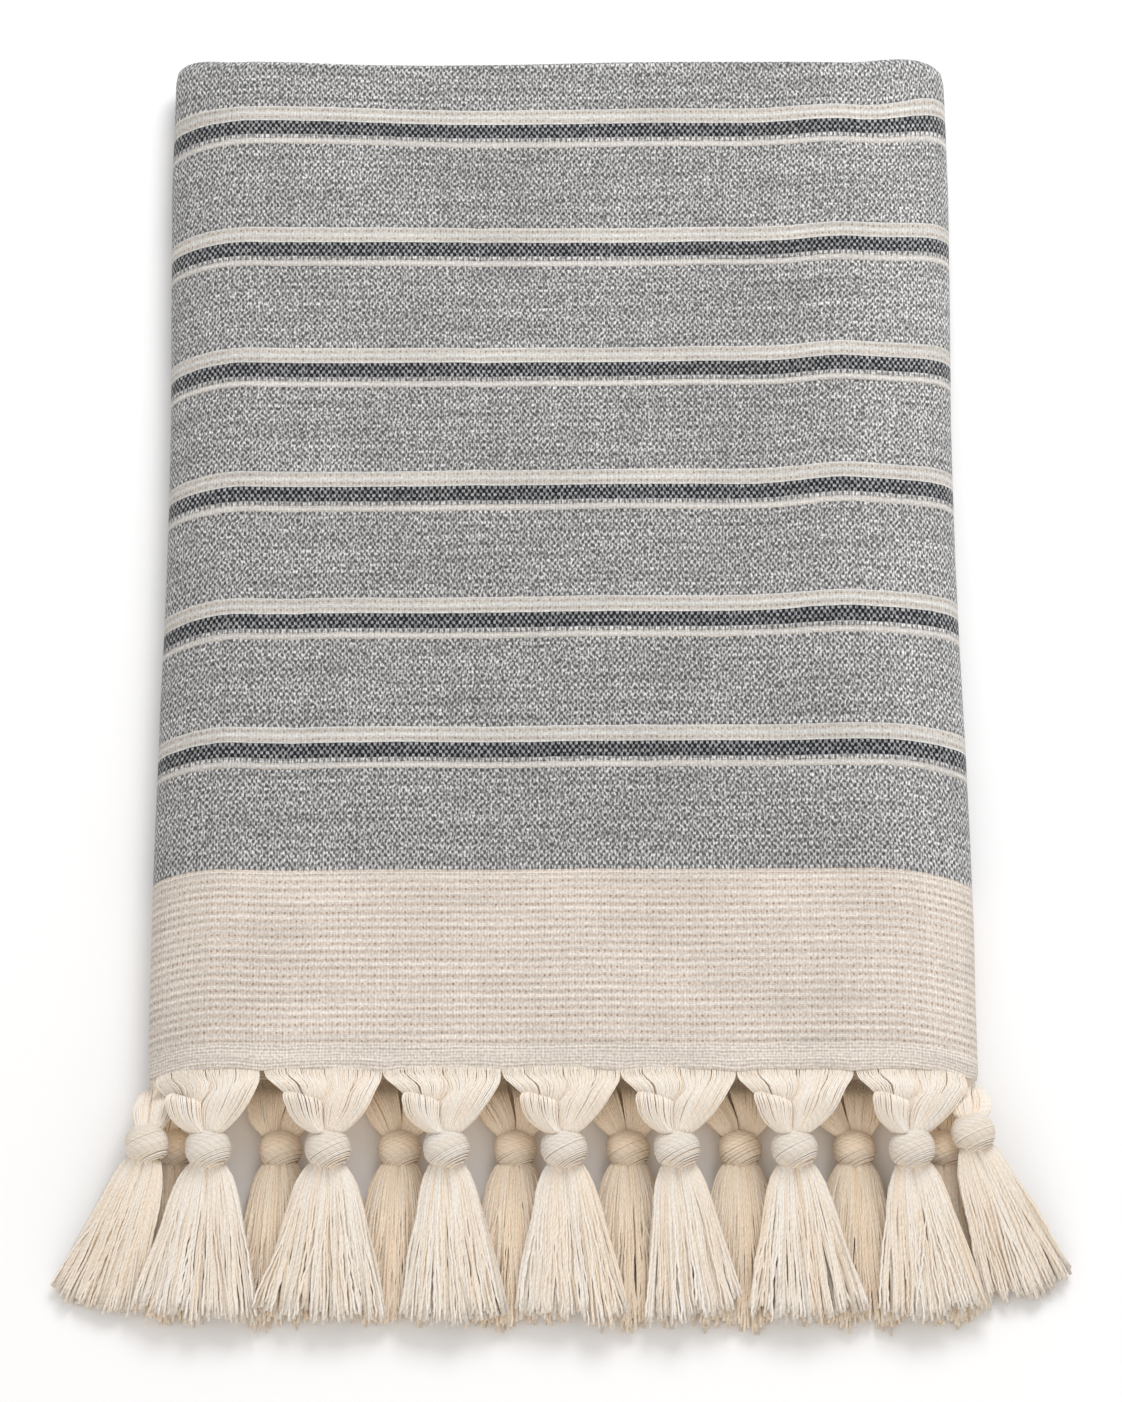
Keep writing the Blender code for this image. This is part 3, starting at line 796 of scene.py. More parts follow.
def foldRows():
    # Rows of the sheet from its hem: y, layer, share of the hem's recess.
    radius = plyPitch / 2
    farTurn = fold["farY"] - fold["plyThickness"] / 2 - radius
    nearTurn = fold["hemY"] + fold["innerNearRecess"] + radius
    ends = (
        (fold["hemY"], farTurn),
        (farTurn, nearTurn),
        (nearTurn, farTurn - fold["innerFarRecess"]),
        (farTurn - fold["innerFarRecess"], fold["hemY"] + fold["tuckedEnd"]),
    )
    made = []
    for layer, (start, end) in enumerate(ends):
        if layer == 0:
            fine = np.linspace(0.0, clothLook["hemZone"], clothLook["hemRows"] + 1)
            rest = np.linspace(clothLook["hemZone"], end - start, clothLook["topRows"])[1:]
            distances = np.concatenate([fine, rest])
        else:
            distances = np.linspace(0.0, abs(end - start), clothLook["innerRows"])
        direction = math.copysign(1.0, end - start)
        for distance in distances:
            recessShare = 1.0 - distance / abs(end - start) if layer == 0 else 0.0
            made.append((start + direction * distance, layer, recessShare))
        if layer == len(ends) - 1:
            break
        nextStart = ends[layer + 1][0]
        for step in range(1, clothLook["turnRows"]):
            angle = math.pi * step / clothLook["turnRows"]
            across = (1.0 - math.cos(angle)) / 2
            y = end + (nextStart - end) * across + direction * radius * math.sin(angle)
            made.append((y, layer + across, 0.0))
    return made


def foldStations():
    half = []
    for start, steps in enumerate(clothLook["columns"]):
        half += [start + step / steps for step in range(steps)]
    half.append(4.0)
    return [-station for station in reversed(half[1:])] + half


def creaseLift(x, y):
    lift = 0.0
    for x0, y0, x1, y1, width, height in clothLook["creases"]:
        length = math.hypot(x1 - x0, y1 - y0)
        along = ((x - x0) * (x1 - x0) + (y - y0) * (y1 - y0)) / length**2
        off = abs((x - x0) * (y1 - y0) - (y - y0) * (x1 - x0)) / length
        fade = math.exp(-((max(0.0, -along, along - 1.0) * length / clothLook["creaseFade"]) ** 2))
        lift += height * swell(off, 0.0, width) * fade
    return lift


def stripeShift(place, distance):
    # How far a stripe lies off a straight line, at a place across and a distance from the hem: the cloth is
    # drawn up along the right side, more so toward the far fold, and it sags a little to the left.
    ends = float(smoothStep(distance, 0.0, 0.05))
    shoulder = 0.0024 * swell(place, 0.119, 0.022) * float(smoothStep(distance, 0.12, 0.25))
    drawn = min(max((distance - 0.12) / 0.29, 0.0), 1.0) ** 0.6
    right = 0.0076 * drawn * float(smoothStep(place, 0.128, 0.172))
    right -= 0.0030 * float(smoothStep(place, 0.130, 0.175)) * (1.0 - drawn)
    near = 1.0 + 1.6 * swell(distance, 0.17, 0.05)
    left = -0.0008 * swell(place, -0.118, 0.020)
    left -= 0.0016 * near * float(smoothStep(-place, 0.135, 0.175))
    left += 0.0018 * swell(place, -0.105, 0.045) * float(smoothStep(distance, 0.36, 0.41))
    slope = 0.009 * float(np.clip(place, -0.12, 0.12)) * swell(distance, 0.22, 0.09)
    wander = 0.0006 * noise.noise((place * 22.0, distance * 9.0, 3.1))
    return -((shoulder + 0.0006) * ends + right + left + slope + wander)


def faded(value, start, end):
    return float(1.0 - smoothStep(value, start, end))


def clothLift(x, y, z, station, layer, place, near):
    # How far a point of the sheet stands off its fold, and how far it moves aside.
    pucker = noise.noise_vector((x * 38.0, y * 30.0, layer * 5.0 + z * 30.0)) * clothLook["pucker"]
    lift = pucker.z + noise.noise((x * 11.0 + 7.0, y * 9.0, layer * 3.0)) * clothLook["sag"]
    if layer == 0:
        if abs(station) < 1.5:
            lift += creaseLift(x, y) * faded(abs(station), 1.1, 1.5)
        groove = -clothLook["groove"] * swell(near, weave["hemStrip"], clothLook["grooveWidth"])
        ripples = noise.noise((place * 60.0, near * 320.0, 1.7)) * clothLook["hemRipple"]
        lift += (groove + ripples * faded(near, 0.008, 0.016)) * faded(abs(station), 1.6, 2.2)
    return lift, pucker.x


def foldedPoints(rowList, stations):
    # The sheet's points by row and station, and where they lie across and along the flat cloth.
    recess = [hemRecess(station) for station in stations]
    base = np.zeros((len(rowList), len(stations), 3))
    for i, (y, layer, recessShare) in enumerate(rowList):
        for j, station in enumerate(stations):
            x, z = sectionPoint(station, layer)
            base[i, j] = unevenPoint(x, y + recess[j] * recessShare, z)
    middle = len(stations) // 2
    steps = np.linalg.norm(np.diff(base[:, middle], axis=0), axis=1)
    along = np.concatenate([[0.0], np.cumsum(steps)])
    across = np.array([placeAt(station) for station in stations])
    folded = base.copy()
    lowest = fold["thickness"] / 2 + 0.00002
    for i, row in enumerate(rowList):
        layer = row[1]
        for j, station in enumerate(stations):
            x, y, z = base[i, j]
            lift, aside = clothLift(x, y, z, station, layer, across[j], along[i])
            loose = 1.0
            if layer == 0:
                y -= hemScallop(across[j]) * faded(along[i], 0.0, 0.010)
                loose = faded(abs(station), 2.3, 3.0)  # the back lies flat on the table
            folded[i, j] = (x + aside * loose, y, max(z + lift * loose, lowest))
    return folded, across, along


def thickenCloth(sheet, line, along):
    # Full thickness but for the very hem.
    full = sheet.vertex_groups.new(name="fullPly")
    for i, near in enumerate(along):
        weight = float(smoothStep(near, 0.0, clothLook["hemThinning"]))
        full.add([int(vertex) for vertex in np.flatnonzero(line == i)], weight, "REPLACE")
    solid = sheet.modifiers.new("ply", "SOLIDIFY")
    solid.vertex_group = full.name
    solid.thickness_vertex_group = clothLook["hemThin"]
    solid.thickness = fold["thickness"]
    solid.offset = 0.0
    solid.use_even_offset = True
    bpy.ops.object.modifier_apply(modifier=solid.name)


def buildCloth():
    rowList = foldRows()
    stations = foldStations()
    bpy.ops.mesh.primitive_grid_add(
        x_subdivisions=len(stations) - 1, y_subdivisions=len(rowList) - 1, size=2.0, location=(0, 0, 0)
    )
    sheet = bpy.context.object
    sheet.name = sheet.data.name = "towelSheet"
    mesh = sheet.data
    flat = np.zeros(len(mesh.vertices) * 3)
    mesh.vertices.foreach_get("co", flat)
    flat = flat.reshape(-1, 3)
    column = np.rint((flat[:, 0] + 1.0) / 2.0 * (len(stations) - 1)).astype(int)
    line = np.rint((flat[:, 1] + 1.0) / 2.0 * (len(rowList) - 1)).astype(int)
    folded, across, along = foldedPoints(rowList, stations)
    mesh.vertices.foreach_set("co", folded[line, column].ravel())
    uvs = mesh.uv_layers[0]
    uvs.name = "clothPlace"
    corner = np.zeros(len(mesh.loops), int)
    mesh.loops.foreach_get("vertex_index", corner)
    shift = np.array([[stripeShift(place, distance) for place in across] for distance in along])
    u = across[column[corner]]
    v = along[line[corner]] + shift[line[corner], column[corner]]
    uvs.data.foreach_set("uv", np.stack([u, v], axis=1).ravel())
    mesh.update()
    bpy.ops.object.shade_smooth()
    thickenCloth(sheet, line, along)
    size = (float(across[-1] - across[0]), float(along[-1]))
    print("cloth:", len(mesh.polygons), "faces,", round(size[0], 4), "x", round(size[1], 4))
    return sheet, size


clothSheet, clothFlat = buildCloth()
clothSheet.data.materials.clear()
clothSheet.data.materials.append(clothMaterial())
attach(clothSheet, "root")
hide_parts("cloth")


# The fringe's yarns.
yarnColours = dict(
    light=(0.88, 0.825, 0.750),
    warm=(0.86, 0.725, 0.575),
    # painted shade: the warm tan that deep yarns and the gaps between yarns show
    inner=(0.88, 0.700, 0.490),
    twists=340.0,  # per metre
    bump=0.00012,
)


def yarnMaterial():
    material, tree, surface = newMaterial("tasselYarn", 0.88, 0.15)
    place = addNode(tree, "ShaderNodeUVMap", uv_map="yarnPlace").outputs[0]
    tone, inner, dim = (
        addNode(tree, "ShaderNodeAttribute", attribute_name=name).outputs["Fac"]
        for name in ("yarnTone", "innerShade", "yarnPaintedShade")
    )
    drift = noiseAt(tree, stretched(tree, place, 0.6, 55.0), 1.0, 2.0).outputs[0]
    blend = calc(tree, "ADD", tone, times(tree, minus(tree, drift, 0.5), 0.9), clamp=True)
    colour = mixColour(tree, blend, rgba(yarnColours["light"]), rgba(yarnColours["warm"]))
    # Painted shade: deeper yarns are mixed toward the warm inner tan.
    colour = mixColour(tree, inner, colour, rgba(yarnColours["inner"]))
    split = addNode(tree, "ShaderNodeSeparateXYZ")
    tree.links.new(place, split.inputs[0])
    # Two plies twist round each other along the yarn; the groove between them gets a little painted shade.
    turn = plus(tree, split.outputs[0], times(tree, split.outputs[1], yarnColours["twists"]))
    twist = calc(tree, "ABSOLUTE", wave(tree, "SINE", turn, 0.5))
    fuzz = placeGroup(tree, fuzzGroup, Place=stretched(tree, place, 2.0, 900.0), Grain=1.0, Depth=0.24)
    # Painted shade: a little darker in the twist's groove, and darker by the painted-shade attribute on knots
    # and deep skirt yarns.
    shade = times(tree, fuzz.outputs["Tone"], ramped(tree, twist, 0.0, 0.6, 0.90, 1.0), minus(tree, 1.0, dim))
    tree.links.new(shaded(tree, colour, shade), surface.inputs["Base Color"])
    height = plus(tree, twist, times(tree, fuzz.outputs["Height"], 0.6))
    tree.links.new(bumped(tree, height, yarnColours["bump"]), surface.inputs["Normal"])
    return material


def smoothLine(keys, places):
    # A soft line through (place, value) keys.
    at = np.array([key[0] for key in keys])
    value = np.array([key[1] for key in keys])
    slope = np.gradient(value, at)
    index = np.clip(np.searchsorted(at, places, side="right") - 1, 0, len(at) - 2)
    width = at[index + 1] - at[index]
    t = (places - at[index]) / width
    square = t * t
    cube = t * t * t
    return (
        (2 * cube - 3 * square + 1) * value[index]
        + (cube - 2 * square + t) * width * slope[index]
        + (3 * square - 2 * cube) * value[index + 1]
        + (cube - square) * width * slope[index + 1]
    )


def unit(vectors):
    return vectors / (np.linalg.norm(vectors, axis=-1, keepdims=True) + 1e-12)


class Skein:
    # Collects a tassel's yarns as tubes and turns them into one mesh.
    def __init__(self, shade):
        self.shade = shade  # how much painted shade, the tan of the inner colour, the whole tassel takes; most for the back row that lies in shade
        self.count = 0
        self.points, self.faces, self.uvs = [], [], []
        self.tones, self.inners, self.paintedShades = [], [], []

    def add(self, lines, radii, tones, inners, ups=None, closed=False, sides=4, dim=0.0, pale=1.0):
        lines = np.asarray(lines, float)  # yarns, points, xyz
        many, steps = lines.shape[:2]
        if closed:
            tangent = unit(np.roll(lines, -1, axis=1) - np.roll(lines, 1, axis=1))
        else:
            tangent = unit(np.gradient(lines, axis=1))
        up = np.broadcast_to(np.array([0.0, 0.0, 1.0]) if ups is None else ups, lines.shape)
        side = unit(np.cross(tangent, up))
        lifted = np.cross(side, tangent)
        radii = np.broadcast_to(radii, (many, steps))
        angles = (np.arange(sides) + 0.5) / sides * math.tau
        spokes = side[:, :, None] * np.cos(angles)[:, None] + lifted[:, :, None] * np.sin(angles)[:, None]
        ring = lines[:, :, None] + radii[:, :, None, None] * spokes
        index = self.count + np.arange(many * steps * sides).reshape(many, steps, sides)
        last = steps if closed else steps - 1
        a = index[:, :last]
        b = np.roll(index, -1, axis=1)[:, :last]
        quads = np.stack([np.roll(a, -1, axis=2), a, b, np.roll(b, -1, axis=2)], axis=-1).reshape(-1, 4)
        lengths = np.linalg.norm(np.diff(lines, axis=1), axis=2)
        run = np.concatenate([np.zeros((many, 1)), np.cumsum(lengths, axis=1)], axis=1)
        run = np.concatenate([run, run[:, -1:] + (0.002 if closed else 0.0)], axis=1)
        start = np.arange(many)[:, None] * 0.37
        loops = np.zeros((many, last, sides, 4, 2))
        for corner, (stepAdd, sideAdd) in enumerate(((0, 1), (0, 0), (1, 0), (1, 1))):
            loops[:, :, :, corner, 0] = (np.arange(sides) + sideAdd)[None, None] / sides
            loops[:, :, :, corner, 1] = (run + start)[:, stepAdd : stepAdd + last, None]
        self.points.append(ring.reshape(-1, 3))
        self.faces += quads.tolist()
        self.uvs.append(loops.reshape(-1, 2))
        if not closed:
            for end, turn in ((0, 1), (steps - 1, -1)):
                self.faces += index[:, end, ::turn].tolist()
                cap = np.stack([np.full(many, 0.5), run[:, end] + start[:, 0]], axis=1)
                self.uvs.append(np.repeat(cap, sides, axis=0))
        self.tones.append(np.repeat(np.clip(tones, 0.0, 1.0).ravel(), sides))
        shades = self.shade * pale + (1.0 - self.shade * pale) * np.clip(inners, 0.0, 1.0)
        self.inners.append(np.repeat(shades.ravel(), sides))
        self.paintedShades.append(np.full(many * steps * sides, dim))
        self.count += many * steps * sides

    def addBall(self, middle, half, rings=9, steps=20):
        # A plain core that closes the gaps between the wraps; its tan is painted shade.
        latitude = -math.pi / 2 + math.pi * (np.arange(rings) + 0.5) / rings
        turn = np.arange(steps) / steps * math.tau
        shell = np.stack(
            [
                np.outer(np.cos(latitude), np.cos(turn)),
                np.outer(np.sin(latitude), np.ones(steps)),
                np.outer(np.cos(latitude), np.sin(turn)),
            ],
            axis=-1,
        )
        poles = np.array([[0.0, -1.0, 0.0], [0.0, 1.0, 0.0]])
        index = self.count + np.arange(rings * steps).reshape(rings, steps)
        ahead = np.roll(index, -1, axis=1)
        bottom = self.count + rings * steps
        walls = np.stack([index[:-1], index[1:], ahead[1:], ahead[:-1]], axis=-1).reshape(-1, 4).tolist()
        caps = [[bottom, int(a), int(b)] for a, b in zip(index[0], ahead[0])]
        caps += [[bottom + 1, int(b), int(a)] for a, b in zip(index[-1], ahead[-1])]
        self.points.append(np.concatenate([shell.reshape(-1, 3), poles]) * half + middle)
        self.faces += walls + caps
        self.uvs.append(np.zeros((4 * len(walls) + 3 * len(caps), 2)))
        for values, value in ((self.tones, 0.5), (self.inners, 0.8), (self.paintedShades, 0.0)):
            values.append(np.full(rings * steps + 2, value))
        self.count += rings * steps + 2

    def build(self, name, material):
        mesh = bpy.data.meshes.new(name)
        mesh.from_pydata(np.concatenate(self.points).tolist(), [], self.faces)
        uv = mesh.uv_layers.new(name="yarnPlace")
        uv.data.foreach_set("uv", np.concatenate(self.uvs).ravel())
        for label, values in (("yarnTone", self.tones), ("innerShade", self.inners), ("yarnPaintedShade", self.paintedShades)):
            field = mesh.attributes.new(label, "FLOAT", "POINT")
            field.data.foreach_set("value", np.concatenate(values).astype(np.float32))
        mesh.materials.append(material)
        mesh.shade_smooth()
        mesh.update()
        made = bpy.data.objects.new(name, mesh)
        bpy.context.scene.collection.objects.link(made)
        return made


def keysOf(edges, side):
    # One side's (share, millimetres) keys out of a leg's edges: 1 is the left and 2 the right.
    return [(key[0], key[side]) for key in edges]


def hangLine(hang, share, offset, free, wander, rootLift):
    # A yarn's way from the hem to the knot, before its place in the bundle; offsets are in millimetres.
    knot, scale = hang["knot"], hang["scale"]
    root = hemPoint(hang["place"] + offset[0] * 0.001 * scale * hang["direction"])
    root.z += rootLift
    entry = knot[1] + yarn["legsIn"]
    bend = scale + (1.0 - scale) * smoothStep(share, 0.0, yarn["legSpread"])
    middle = hemPoint(hang["place"]).x
    axis = middle + (knot[0] - middle) * share
    x = root.x * (1.0 - free) + (axis + (offset * bend + wander) * 0.001) * free
    y = root.y + yarn["legRoot"] + (entry - root.y - yarn["legRoot"]) * share
    z = root.z + (knot[2] - root.z) * smoothLine(hang["style"]["legZ"], share)
    return x, y, z


def legYarns(skein, chance, hang, group):
    style = hang["style"]
    edges = group["edges"]
    lobe = [other["edges"] for other in style["legs"] if other["lobe"] == group["lobe"]]
    lobeLeft = keysOf(lobe[0], 1)
    lobeRight = keysOf(lobe[-1], 2)
    begin = group.get("begin")
    widest = max(right - left for share, left, right in edges[:3]) * 0.001 * (1.0 if begin else hang["scale"])
    many = max(7, round(widest / yarn["legPitch"]))
    fromThin, toThick = yarn["legThicken"]
    steps = np.linspace(0.0, 1.0, yarn["legPoints"])
    for layer, (height, shade) in enumerate(yarn["legLayers"]):
        lines, radii, tones, inners = [], [], [], []
        for n in range(many):
            at = (n + 0.5 + chance.uniform(-0.25, 0.25)) / many
            share = steps
            if begin:
                first = begin[0] + (begin[1] - begin[0]) * at
                share = first + (1.0 - first) * steps
            leftEdge = smoothLine(keysOf(edges, 1), share)
            rightEdge = smoothLine(keysOf(edges, 2), share)
            offset = leftEdge + (rightEdge - leftEdge) * at
            # Inside its lobe a yarn lies over the round back.
            across = smoothLine(lobeRight, share) - smoothLine(lobeLeft, share)
            lobeAt = np.clip((offset - smoothLine(lobeLeft, share)) / across, 0.0, 1.0)
            crown = np.sqrt(np.maximum(0.0, 1.0 - (1.9 * lobeAt - 0.95) ** 2))
            thick = yarn["legThin"] + yarn["legThick"] * smoothStep(share, fromThin, toThick)
            thick = thick * style["fat"] * group.get("round", 1.0)
            free = smoothStep(share, 0.0, yarn["legFree"])
            swing = hang["sway"][0] * np.sin(share * 3.1) + hang["sway"][1] * np.sin(share * 6.3)
            loose = chance.gauss(0.0, yarn["legLoose"][0]) * np.sin(share * math.pi)
            loose = loose + chance.gauss(0.0, yarn["legLoose"][1]) * np.sin(share * 8 + n)
            x, y, z = hangLine(hang, share, offset, free, swing + loose, yarn["rootLift"])
            lift = smoothLine(group["lift"], steps if begin else share) * 0.001 * style["fat"]
            z = z + lift * (1.0 if begin else free)
            z = z + (crown * height * thick + chance.gauss(0.0, 0.00010) - 0.0001 * layer) * free
            z = np.maximum(z, yarn["legRadius"] + yarn["clear"])
            lines.append(np.stack([x, y, z], axis=1))
            size = yarn["legRadius"] * chance.uniform(0.88, 1.14)
            radii.append(size * (0.56 + 0.44 * free))
            tones.append(np.full(len(share), chance.gauss(0.35, 0.22)))
            inners.append(np.full(len(share), shade * chance.uniform(0.7, 1.0)))
        skein.add(lines, np.array(radii), tones, inners, pale=yarn["legPale"])


def bedYarns(skein, chance, hang):
    # Below the legs, yarns all across the tassel close the gaps.
    style = hang["style"]
    share = np.linspace(0.0, 1.0, yarn["bedPoints"])
    leftEdge = smoothLine(keysOf(style["legs"][0]["edges"], 1), share) + yarn["bedInset"]
    rightEdge = smoothLine(keysOf(style["legs"][-1]["edges"], 2), share) - yarn["bedInset"]
    free = smoothStep(share, 0.0, yarn["legFree"])
    many = round(hang["gathered"] / yarn["bedPitch"])
    for height, shade in yarn["bedLayers"]:
        lines, tones, inners = [], [], []
        for n in range(many):
            at = (n + 0.5 + chance.uniform(-0.2, 0.2)) / many
            offset = leftEdge + (rightEdge - leftEdge) * at
            x, y, z = hangLine(hang, share, offset, free, 0.0, 0.0)
            crown = height * math.sqrt(max(0.0, 1.0 - (2.0 * at - 1.0) ** 2)) - 0.12
            z = z + crown * yarn["legThick"] * style["fat"] * free
            z = np.maximum(z, yarn["bedRadius"] + yarn["clear"])
            lines.append(np.stack([x, y, z], axis=1))
            tones.append(np.full(len(share), chance.gauss(0.35, 0.2)))
            inners.append(np.full(len(share), shade * chance.uniform(0.7, 1.0)))
        radius = yarn["bedRadius"] * (0.35 + 0.65 * free)
        skein.add(lines, np.tile(radius, (many, 1)), tones, inners, pale=yarn["legPale"])


def wrapYarns(skein, chance, knot, slant, size):
    # The knot: yarns wound round the bundle, slanting up to the right.
    half = np.array(yarn["knot"]) * size
    middle = np.array(knot)
    turn = np.linspace(0.0, math.tau, yarn["wrapPoints"], endpoint=False)
    square = yarn["knotSquare"]
    (tuckX, tuckWide), (tuckY, tuckLong) = yarn["tuck"]
    inside = 1.0 - yarn["wrapRadius"] / half
    lines, ups, radii, tones = [], [], [], []
    for n in range(yarn["wraps"]):
        level = -1.0 + 2.0 * (n + 0.5) / yarn["wraps"] + chance.gauss(0, 0.010)
        latitude = math.asin(max(-0.97, min(0.97, level)))
        tilt = math.radians(slant - 2.5 * level + chance.gauss(0.0, 0.3))
        reach = math.cos(latitude) ** 0.85
        x = np.cos(turn) * reach
        y = np.full_like(turn, math.sin(latitude))
        z = np.sin(turn) * reach
        tiltedX = x * math.cos(tilt) - y * math.sin(tilt)
        tiltedY = x * math.sin(tilt) + y * math.cos(tilt)
        turned = np.stack([tiltedX, tiltedY, z], axis=1)
        # A little squarer than a ball, and tucked under itself at the lower left.
        full = (np.abs(turned) ** square).sum(axis=1) ** (-1 / square)
        tuck = np.exp(-(((tiltedX - tuckX) / tuckWide) ** 2) - ((tiltedY - tuckY) / tuckLong) ** 2)
        lump = 1.0 + 0.012 * np.sin(turn * 2 + n * 0.35) + chance.gauss(0.0, 0.006)
        lump = full * lump * (1.0 - yarn["tuckDepth"] * tuck)
        ups.append(unit(turned))
        lines.append(turned * half * inside * lump[:, None] + middle)
        radii.append(np.full(len(turn), yarn["wrapRadius"] * chance.uniform(0.92, 1.10)))
        tones.append(np.full(len(turn), chance.gauss(0.28, 0.2)))
    inners = np.zeros((yarn["wraps"], len(turn)))
    skein.add(lines, np.array(radii), tones, inners, np.array(ups), closed=True, sides=5, dim=yarn["knotPaintedShade"])
    skein.addBall(middle, (half - yarn["wrapRadius"] * 1.6) * 1.03)


def skirtYarns(skein, chance, style, knot, lean, tipHalf):
    turned = math.radians(lean)
    outward = np.array([math.sin(turned), -math.cos(turned), 0.0])
    sideways = np.array([math.cos(turned), math.sin(turned), 0.0])
    neck = np.array([knot[0], knot[1] - yarn["neckOut"], 0.0])
    length = style["skirt"] + yarn["skirtFrom"] - yarn["neckOut"]
    count = yarn["skirtLocks"]
    locks = [-1.0 + 2.0 * (k + chance.uniform(0.2, 0.8)) / count for k in range(count)]
    lockLength = [chance.gauss(0.0, 0.0016) for lock in locks]
    lockTone = [chance.gauss(0.0, 0.16) for lock in locks]
    lockLift = [chance.uniform(-0.0006, 0.0009) for lock in locks]
    heightKeys = list(zip((0.0, 0.36, 1.0), style["heights"]))
    for many, steps, level, shade, longer, drawn, thick in yarn["skirtLayers"]:
        share = np.linspace(0.0, 1.0, steps)
        heights = smoothLine(heightKeys, share)
        halfThick = smoothLine(yarn["skirtThick"], share)
        bell = 0.76 * share + 0.24 * (1.0 - np.exp(-share / 0.09))
        halfWidth = yarn["neck"] + (tipHalf - yarn["neck"]) * bell
        lines, radii, tones, inners = [], [], [], []
        for n in range(many):
            at = -1.0 + 2.0 * (n + 0.5 + chance.uniform(-0.45, 0.45)) / many
            lock = min(range(count), key=lambda k: abs(locks[k] - at))
            calm = chance.random() < yarn["straying"]
            stray = chance.gauss(0.0, yarn["stray"][0 if calm else 1])
            pull = drawn * smoothStep(share, 0.2, 0.85)
            spread = at + (locks[lock] - at) * pull + stray * smoothStep(share, 0.15, 1.0)
            spread = np.clip(spread, -1.04, 1.04)
            bends = chance.uniform(*yarn["wave"])
            bends = bends * np.sin(share * chance.uniform(4, 15) + chance.uniform(0, 6))
            if level > 0.9:
                crimp = chance.uniform(*yarn["crimp"])
                bends = bends + crimp * np.sin(share * chance.uniform(34, 62) + chance.uniform(0, 6))
            reach = length + longer - yarn["shortSides"] * at * at + lockLength[lock]
            reach = (reach + chance.gauss(0.0, yarn["ragged"])) * share
            crown = math.sqrt(max(0.0, 1.0 - (0.93 * at) ** 2))
            rise = (chance.gauss(0.0, 0.00030) + lockLift[lock]) * smoothStep(share, 0.1, 0.6)
            z = heights + halfThick * crown * level + rise
            if level > 0.4:
                groove = yarn["parting"] * swell(at, 0.0, yarn["partingWidth"])
                z = z - groove * (1.0 - smoothStep(share, 0.12, 0.45))
            aside = spread * halfWidth + bends * share**0.5
            line = neck + outward * reach[:, None] + sideways * aside[:, None]
            size = yarn["skirtRadius"] * thick * chance.uniform(0.82, 1.20)
            radius = size * (0.80 + 0.20 * smoothStep(share, 0.0, 0.2))
            radius = radius * (1.0 + 0.10 * np.sin(share * 11 + n))
            line[:, 2] = np.maximum(z, radius + yarn["clear"])
            lines.append(line)
            radii.append(radius)
            tones.append(chance.gauss(0.40, 0.26) + lockTone[lock] - 0.35 * smoothStep(share, 0.88, 1.0))
            inners.append(shade * chance.uniform(0.6, 1.0) * (1.0 - 0.80 * smoothStep(share, 0.55, 1.0)))
        # Deeper skirt layers are painted darker, as painted shade between the yarns.
        skein.add(lines, np.array(radii), tones, inners, dim=0.45 * shade)


def buildTassel(name, material):
    row, hemPlace, gathered, knotX, lean, tipHalf = tassels[name]
    style = rows[row]
    chance = random.Random("yarn" + name)
    knot = (knotX, fold["hemY"] - style["knotOut"], style["knotZ"])
    legs = style["legs"]
    span = legs[-1]["edges"][0][2] - legs[0]["edges"][0][1]
    hang = dict(
        style=style,
        place=hemPlace,
        gathered=gathered,
        knot=knot,
        scale=gathered * 1000 / span,  # so that the legs fill their hem
        direction=-1.0 if row == "back" else 1.0,  # the hem runs the other way on the back
        sway=[chance.gauss(0.0, yarn["legSway"]) for turn in range(4)],
    )
    skein = Skein(style["shade"])
    for group in legs:
        legYarns(skein, chance, hang, group)
    bedYarns(skein, chance, hang)
    wrapYarns(skein, chance, knot, chance.gauss(yarn["wrapSlant"], 2.0), 1.0 if row == "front" else 0.95)
    skirtYarns(skein, chance, style, knot, lean, tipHalf)
    made = skein.build("fringe_" + name, material)
    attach(made, "root")
    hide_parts("tassel_" + name)
    return made


tasselSurface = yarnMaterial()
fringe = [buildTassel(name, tasselSurface) for name in tassels]
print("fringe:", len(fringe), "tassels,", sum(len(t.data.polygons) for t in fringe), "faces")


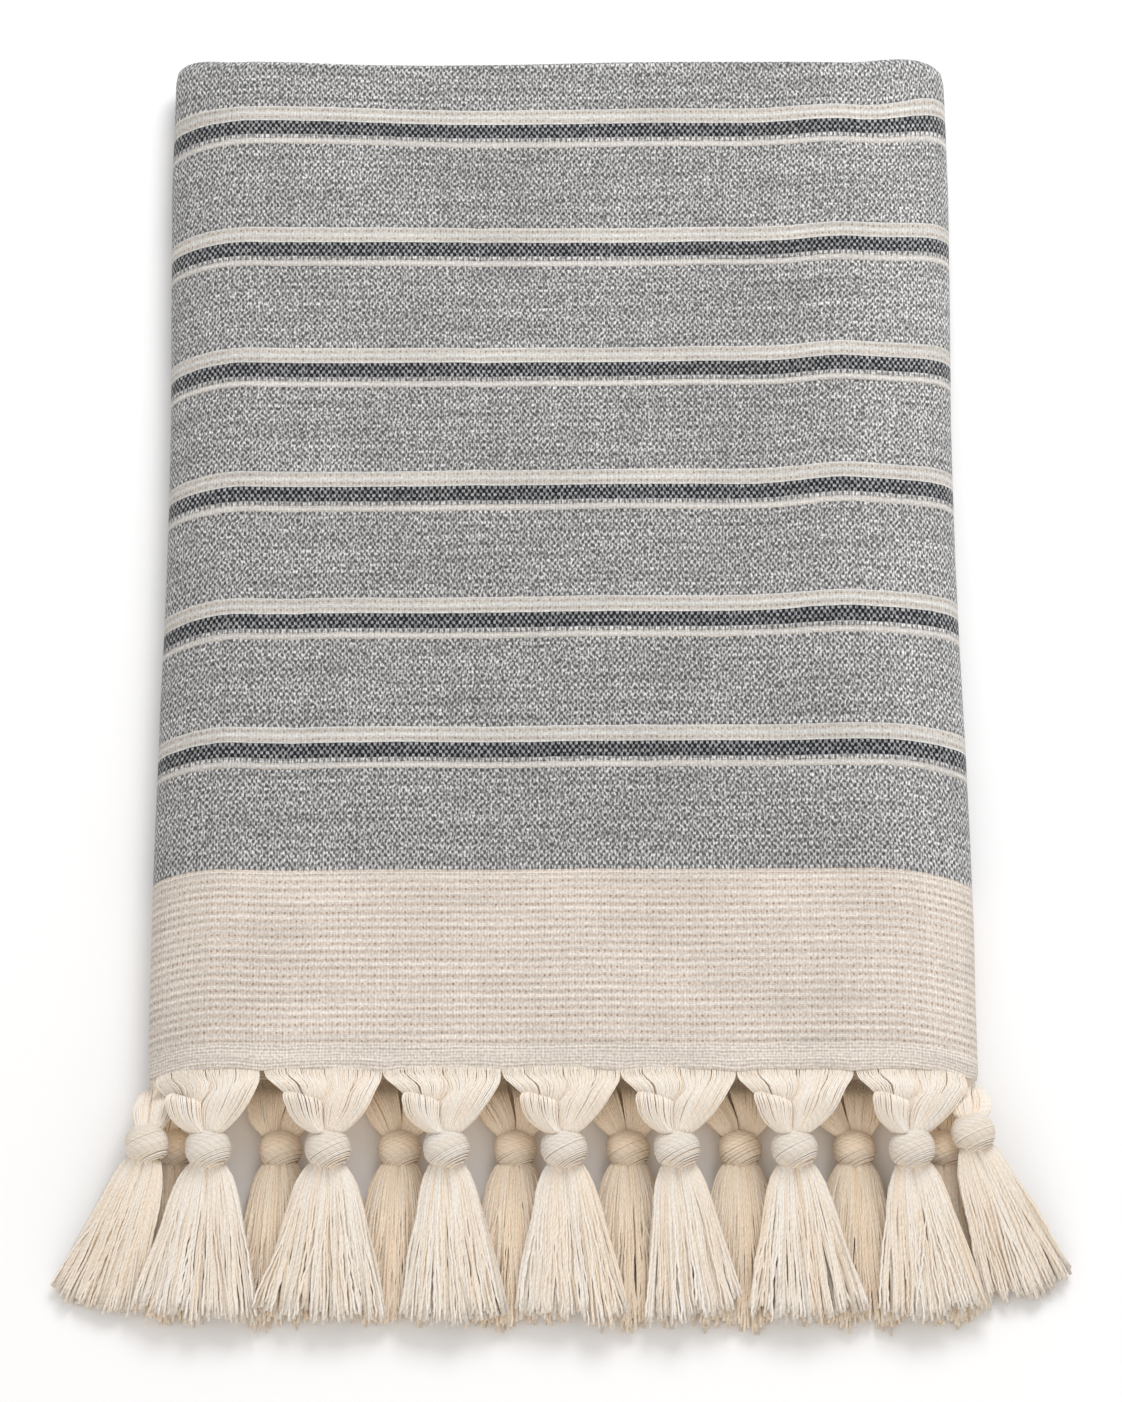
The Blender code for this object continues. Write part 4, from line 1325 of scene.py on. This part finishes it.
stage = dict(
    tableSize=8.0,
    tableZ=-0.0002,
    tableColour=(0.90, 0.895, 0.89),
    tableMottle=0.995,
    worldColour=(0.985, 0.99, 1.0),
    worldStrength=0.74,
    aim=(0.0, 0.02, 0.0),  # of the light and the fill
    bounces=16,  # light goes from yarn to yarn many times in pale cotton
    cameraPlace=(0.0, -0.5862, 1.5685),
    cameraTilt=20.0,
    lens=101.8,
    sensor=36.0,
)
lamps = dict(
    light=dict(place=(0.33, 0.95, 1.22), size=(0.80, 0.80), power=15.2, colour=(0.985, 0.99, 1.0)),
    fill=dict(place=(-0.15, -1.50, 0.60), size=(1.1, 1.1), power=5.0, colour=(1.0, 0.87, 0.73)),
    # A faint warm strip under the front hem stands for the light that comes through the cotton.
    glow=dict(place=(0.0, -0.1955, 0.0168), size=(0.330, 0.035), power=0.0102, colour=(1.0, 0.81, 0.59)),
)


def buildTable():
    bpy.ops.mesh.primitive_plane_add(size=stage["tableSize"], location=(0, 0, stage["tableZ"]))
    table = bpy.context.object
    table.name = "table"
    material, tree, surface = newMaterial("paleTable", 0.9, 0.0)
    surface.inputs["Specular IOR Level"].default_value = 0.1
    place = addNode(tree, "ShaderNodeTexCoord")
    grain = noiseAt(tree, place.outputs["Object"], 3.0, 2.0)
    light = stage["tableColour"]
    dull = [part * stage["tableMottle"] for part in light]
    tree.links.new(mixColour(tree, grain.outputs[0], rgba(light), rgba(dull)), surface.inputs["Base Color"])
    table.data.materials.append(material)


def buildLights():
    world = bpy.data.worlds.new("studio")
    world.use_nodes = True
    background = world.node_tree.nodes["Background"]
    background.inputs[0].default_value = rgba(stage["worldColour"])
    background.inputs[1].default_value = stage["worldStrength"]
    bpy.context.scene.world = world
    for name, given in lamps.items():
        place = Vector(given["place"])
        bpy.ops.object.light_add(type="AREA", location=place)
        lamp = bpy.context.object
        lamp.name = name + "Panel"
        if name == "glow":  # faces straight down and stays out of sight
            lamp.visible_camera = False
        else:
            lamp.rotation_euler = (Vector(stage["aim"]) - place).to_track_quat("-Z", "Y").to_euler()
        lamp.data.shape = "RECTANGLE"
        lamp.data.size, lamp.data.size_y = given["size"]
        lamp.data.energy = given["power"]
        lamp.data.color = given["colour"]
    cycles = bpy.context.scene.cycles
    cycles.max_bounces = cycles.diffuse_bounces = stage["bounces"]


def buildCamera():
    tilt = (math.radians(stage["cameraTilt"]), 0, 0)
    bpy.ops.object.camera_add(location=stage["cameraPlace"], rotation=tilt)
    camera = bpy.context.object
    camera.name = "photoCamera"
    camera.data.lens = stage["lens"]
    camera.data.sensor_width = stage["sensor"]
    camera.data.clip_start = 0.05
    camera.data.clip_end = 30.0
    bpy.context.scene.camera = camera
    bpy.context.scene.view_settings.view_transform = "Standard"


buildTable()
buildLights()
buildCamera()
print("stage: table,", len(lamps), "lamps, camera")
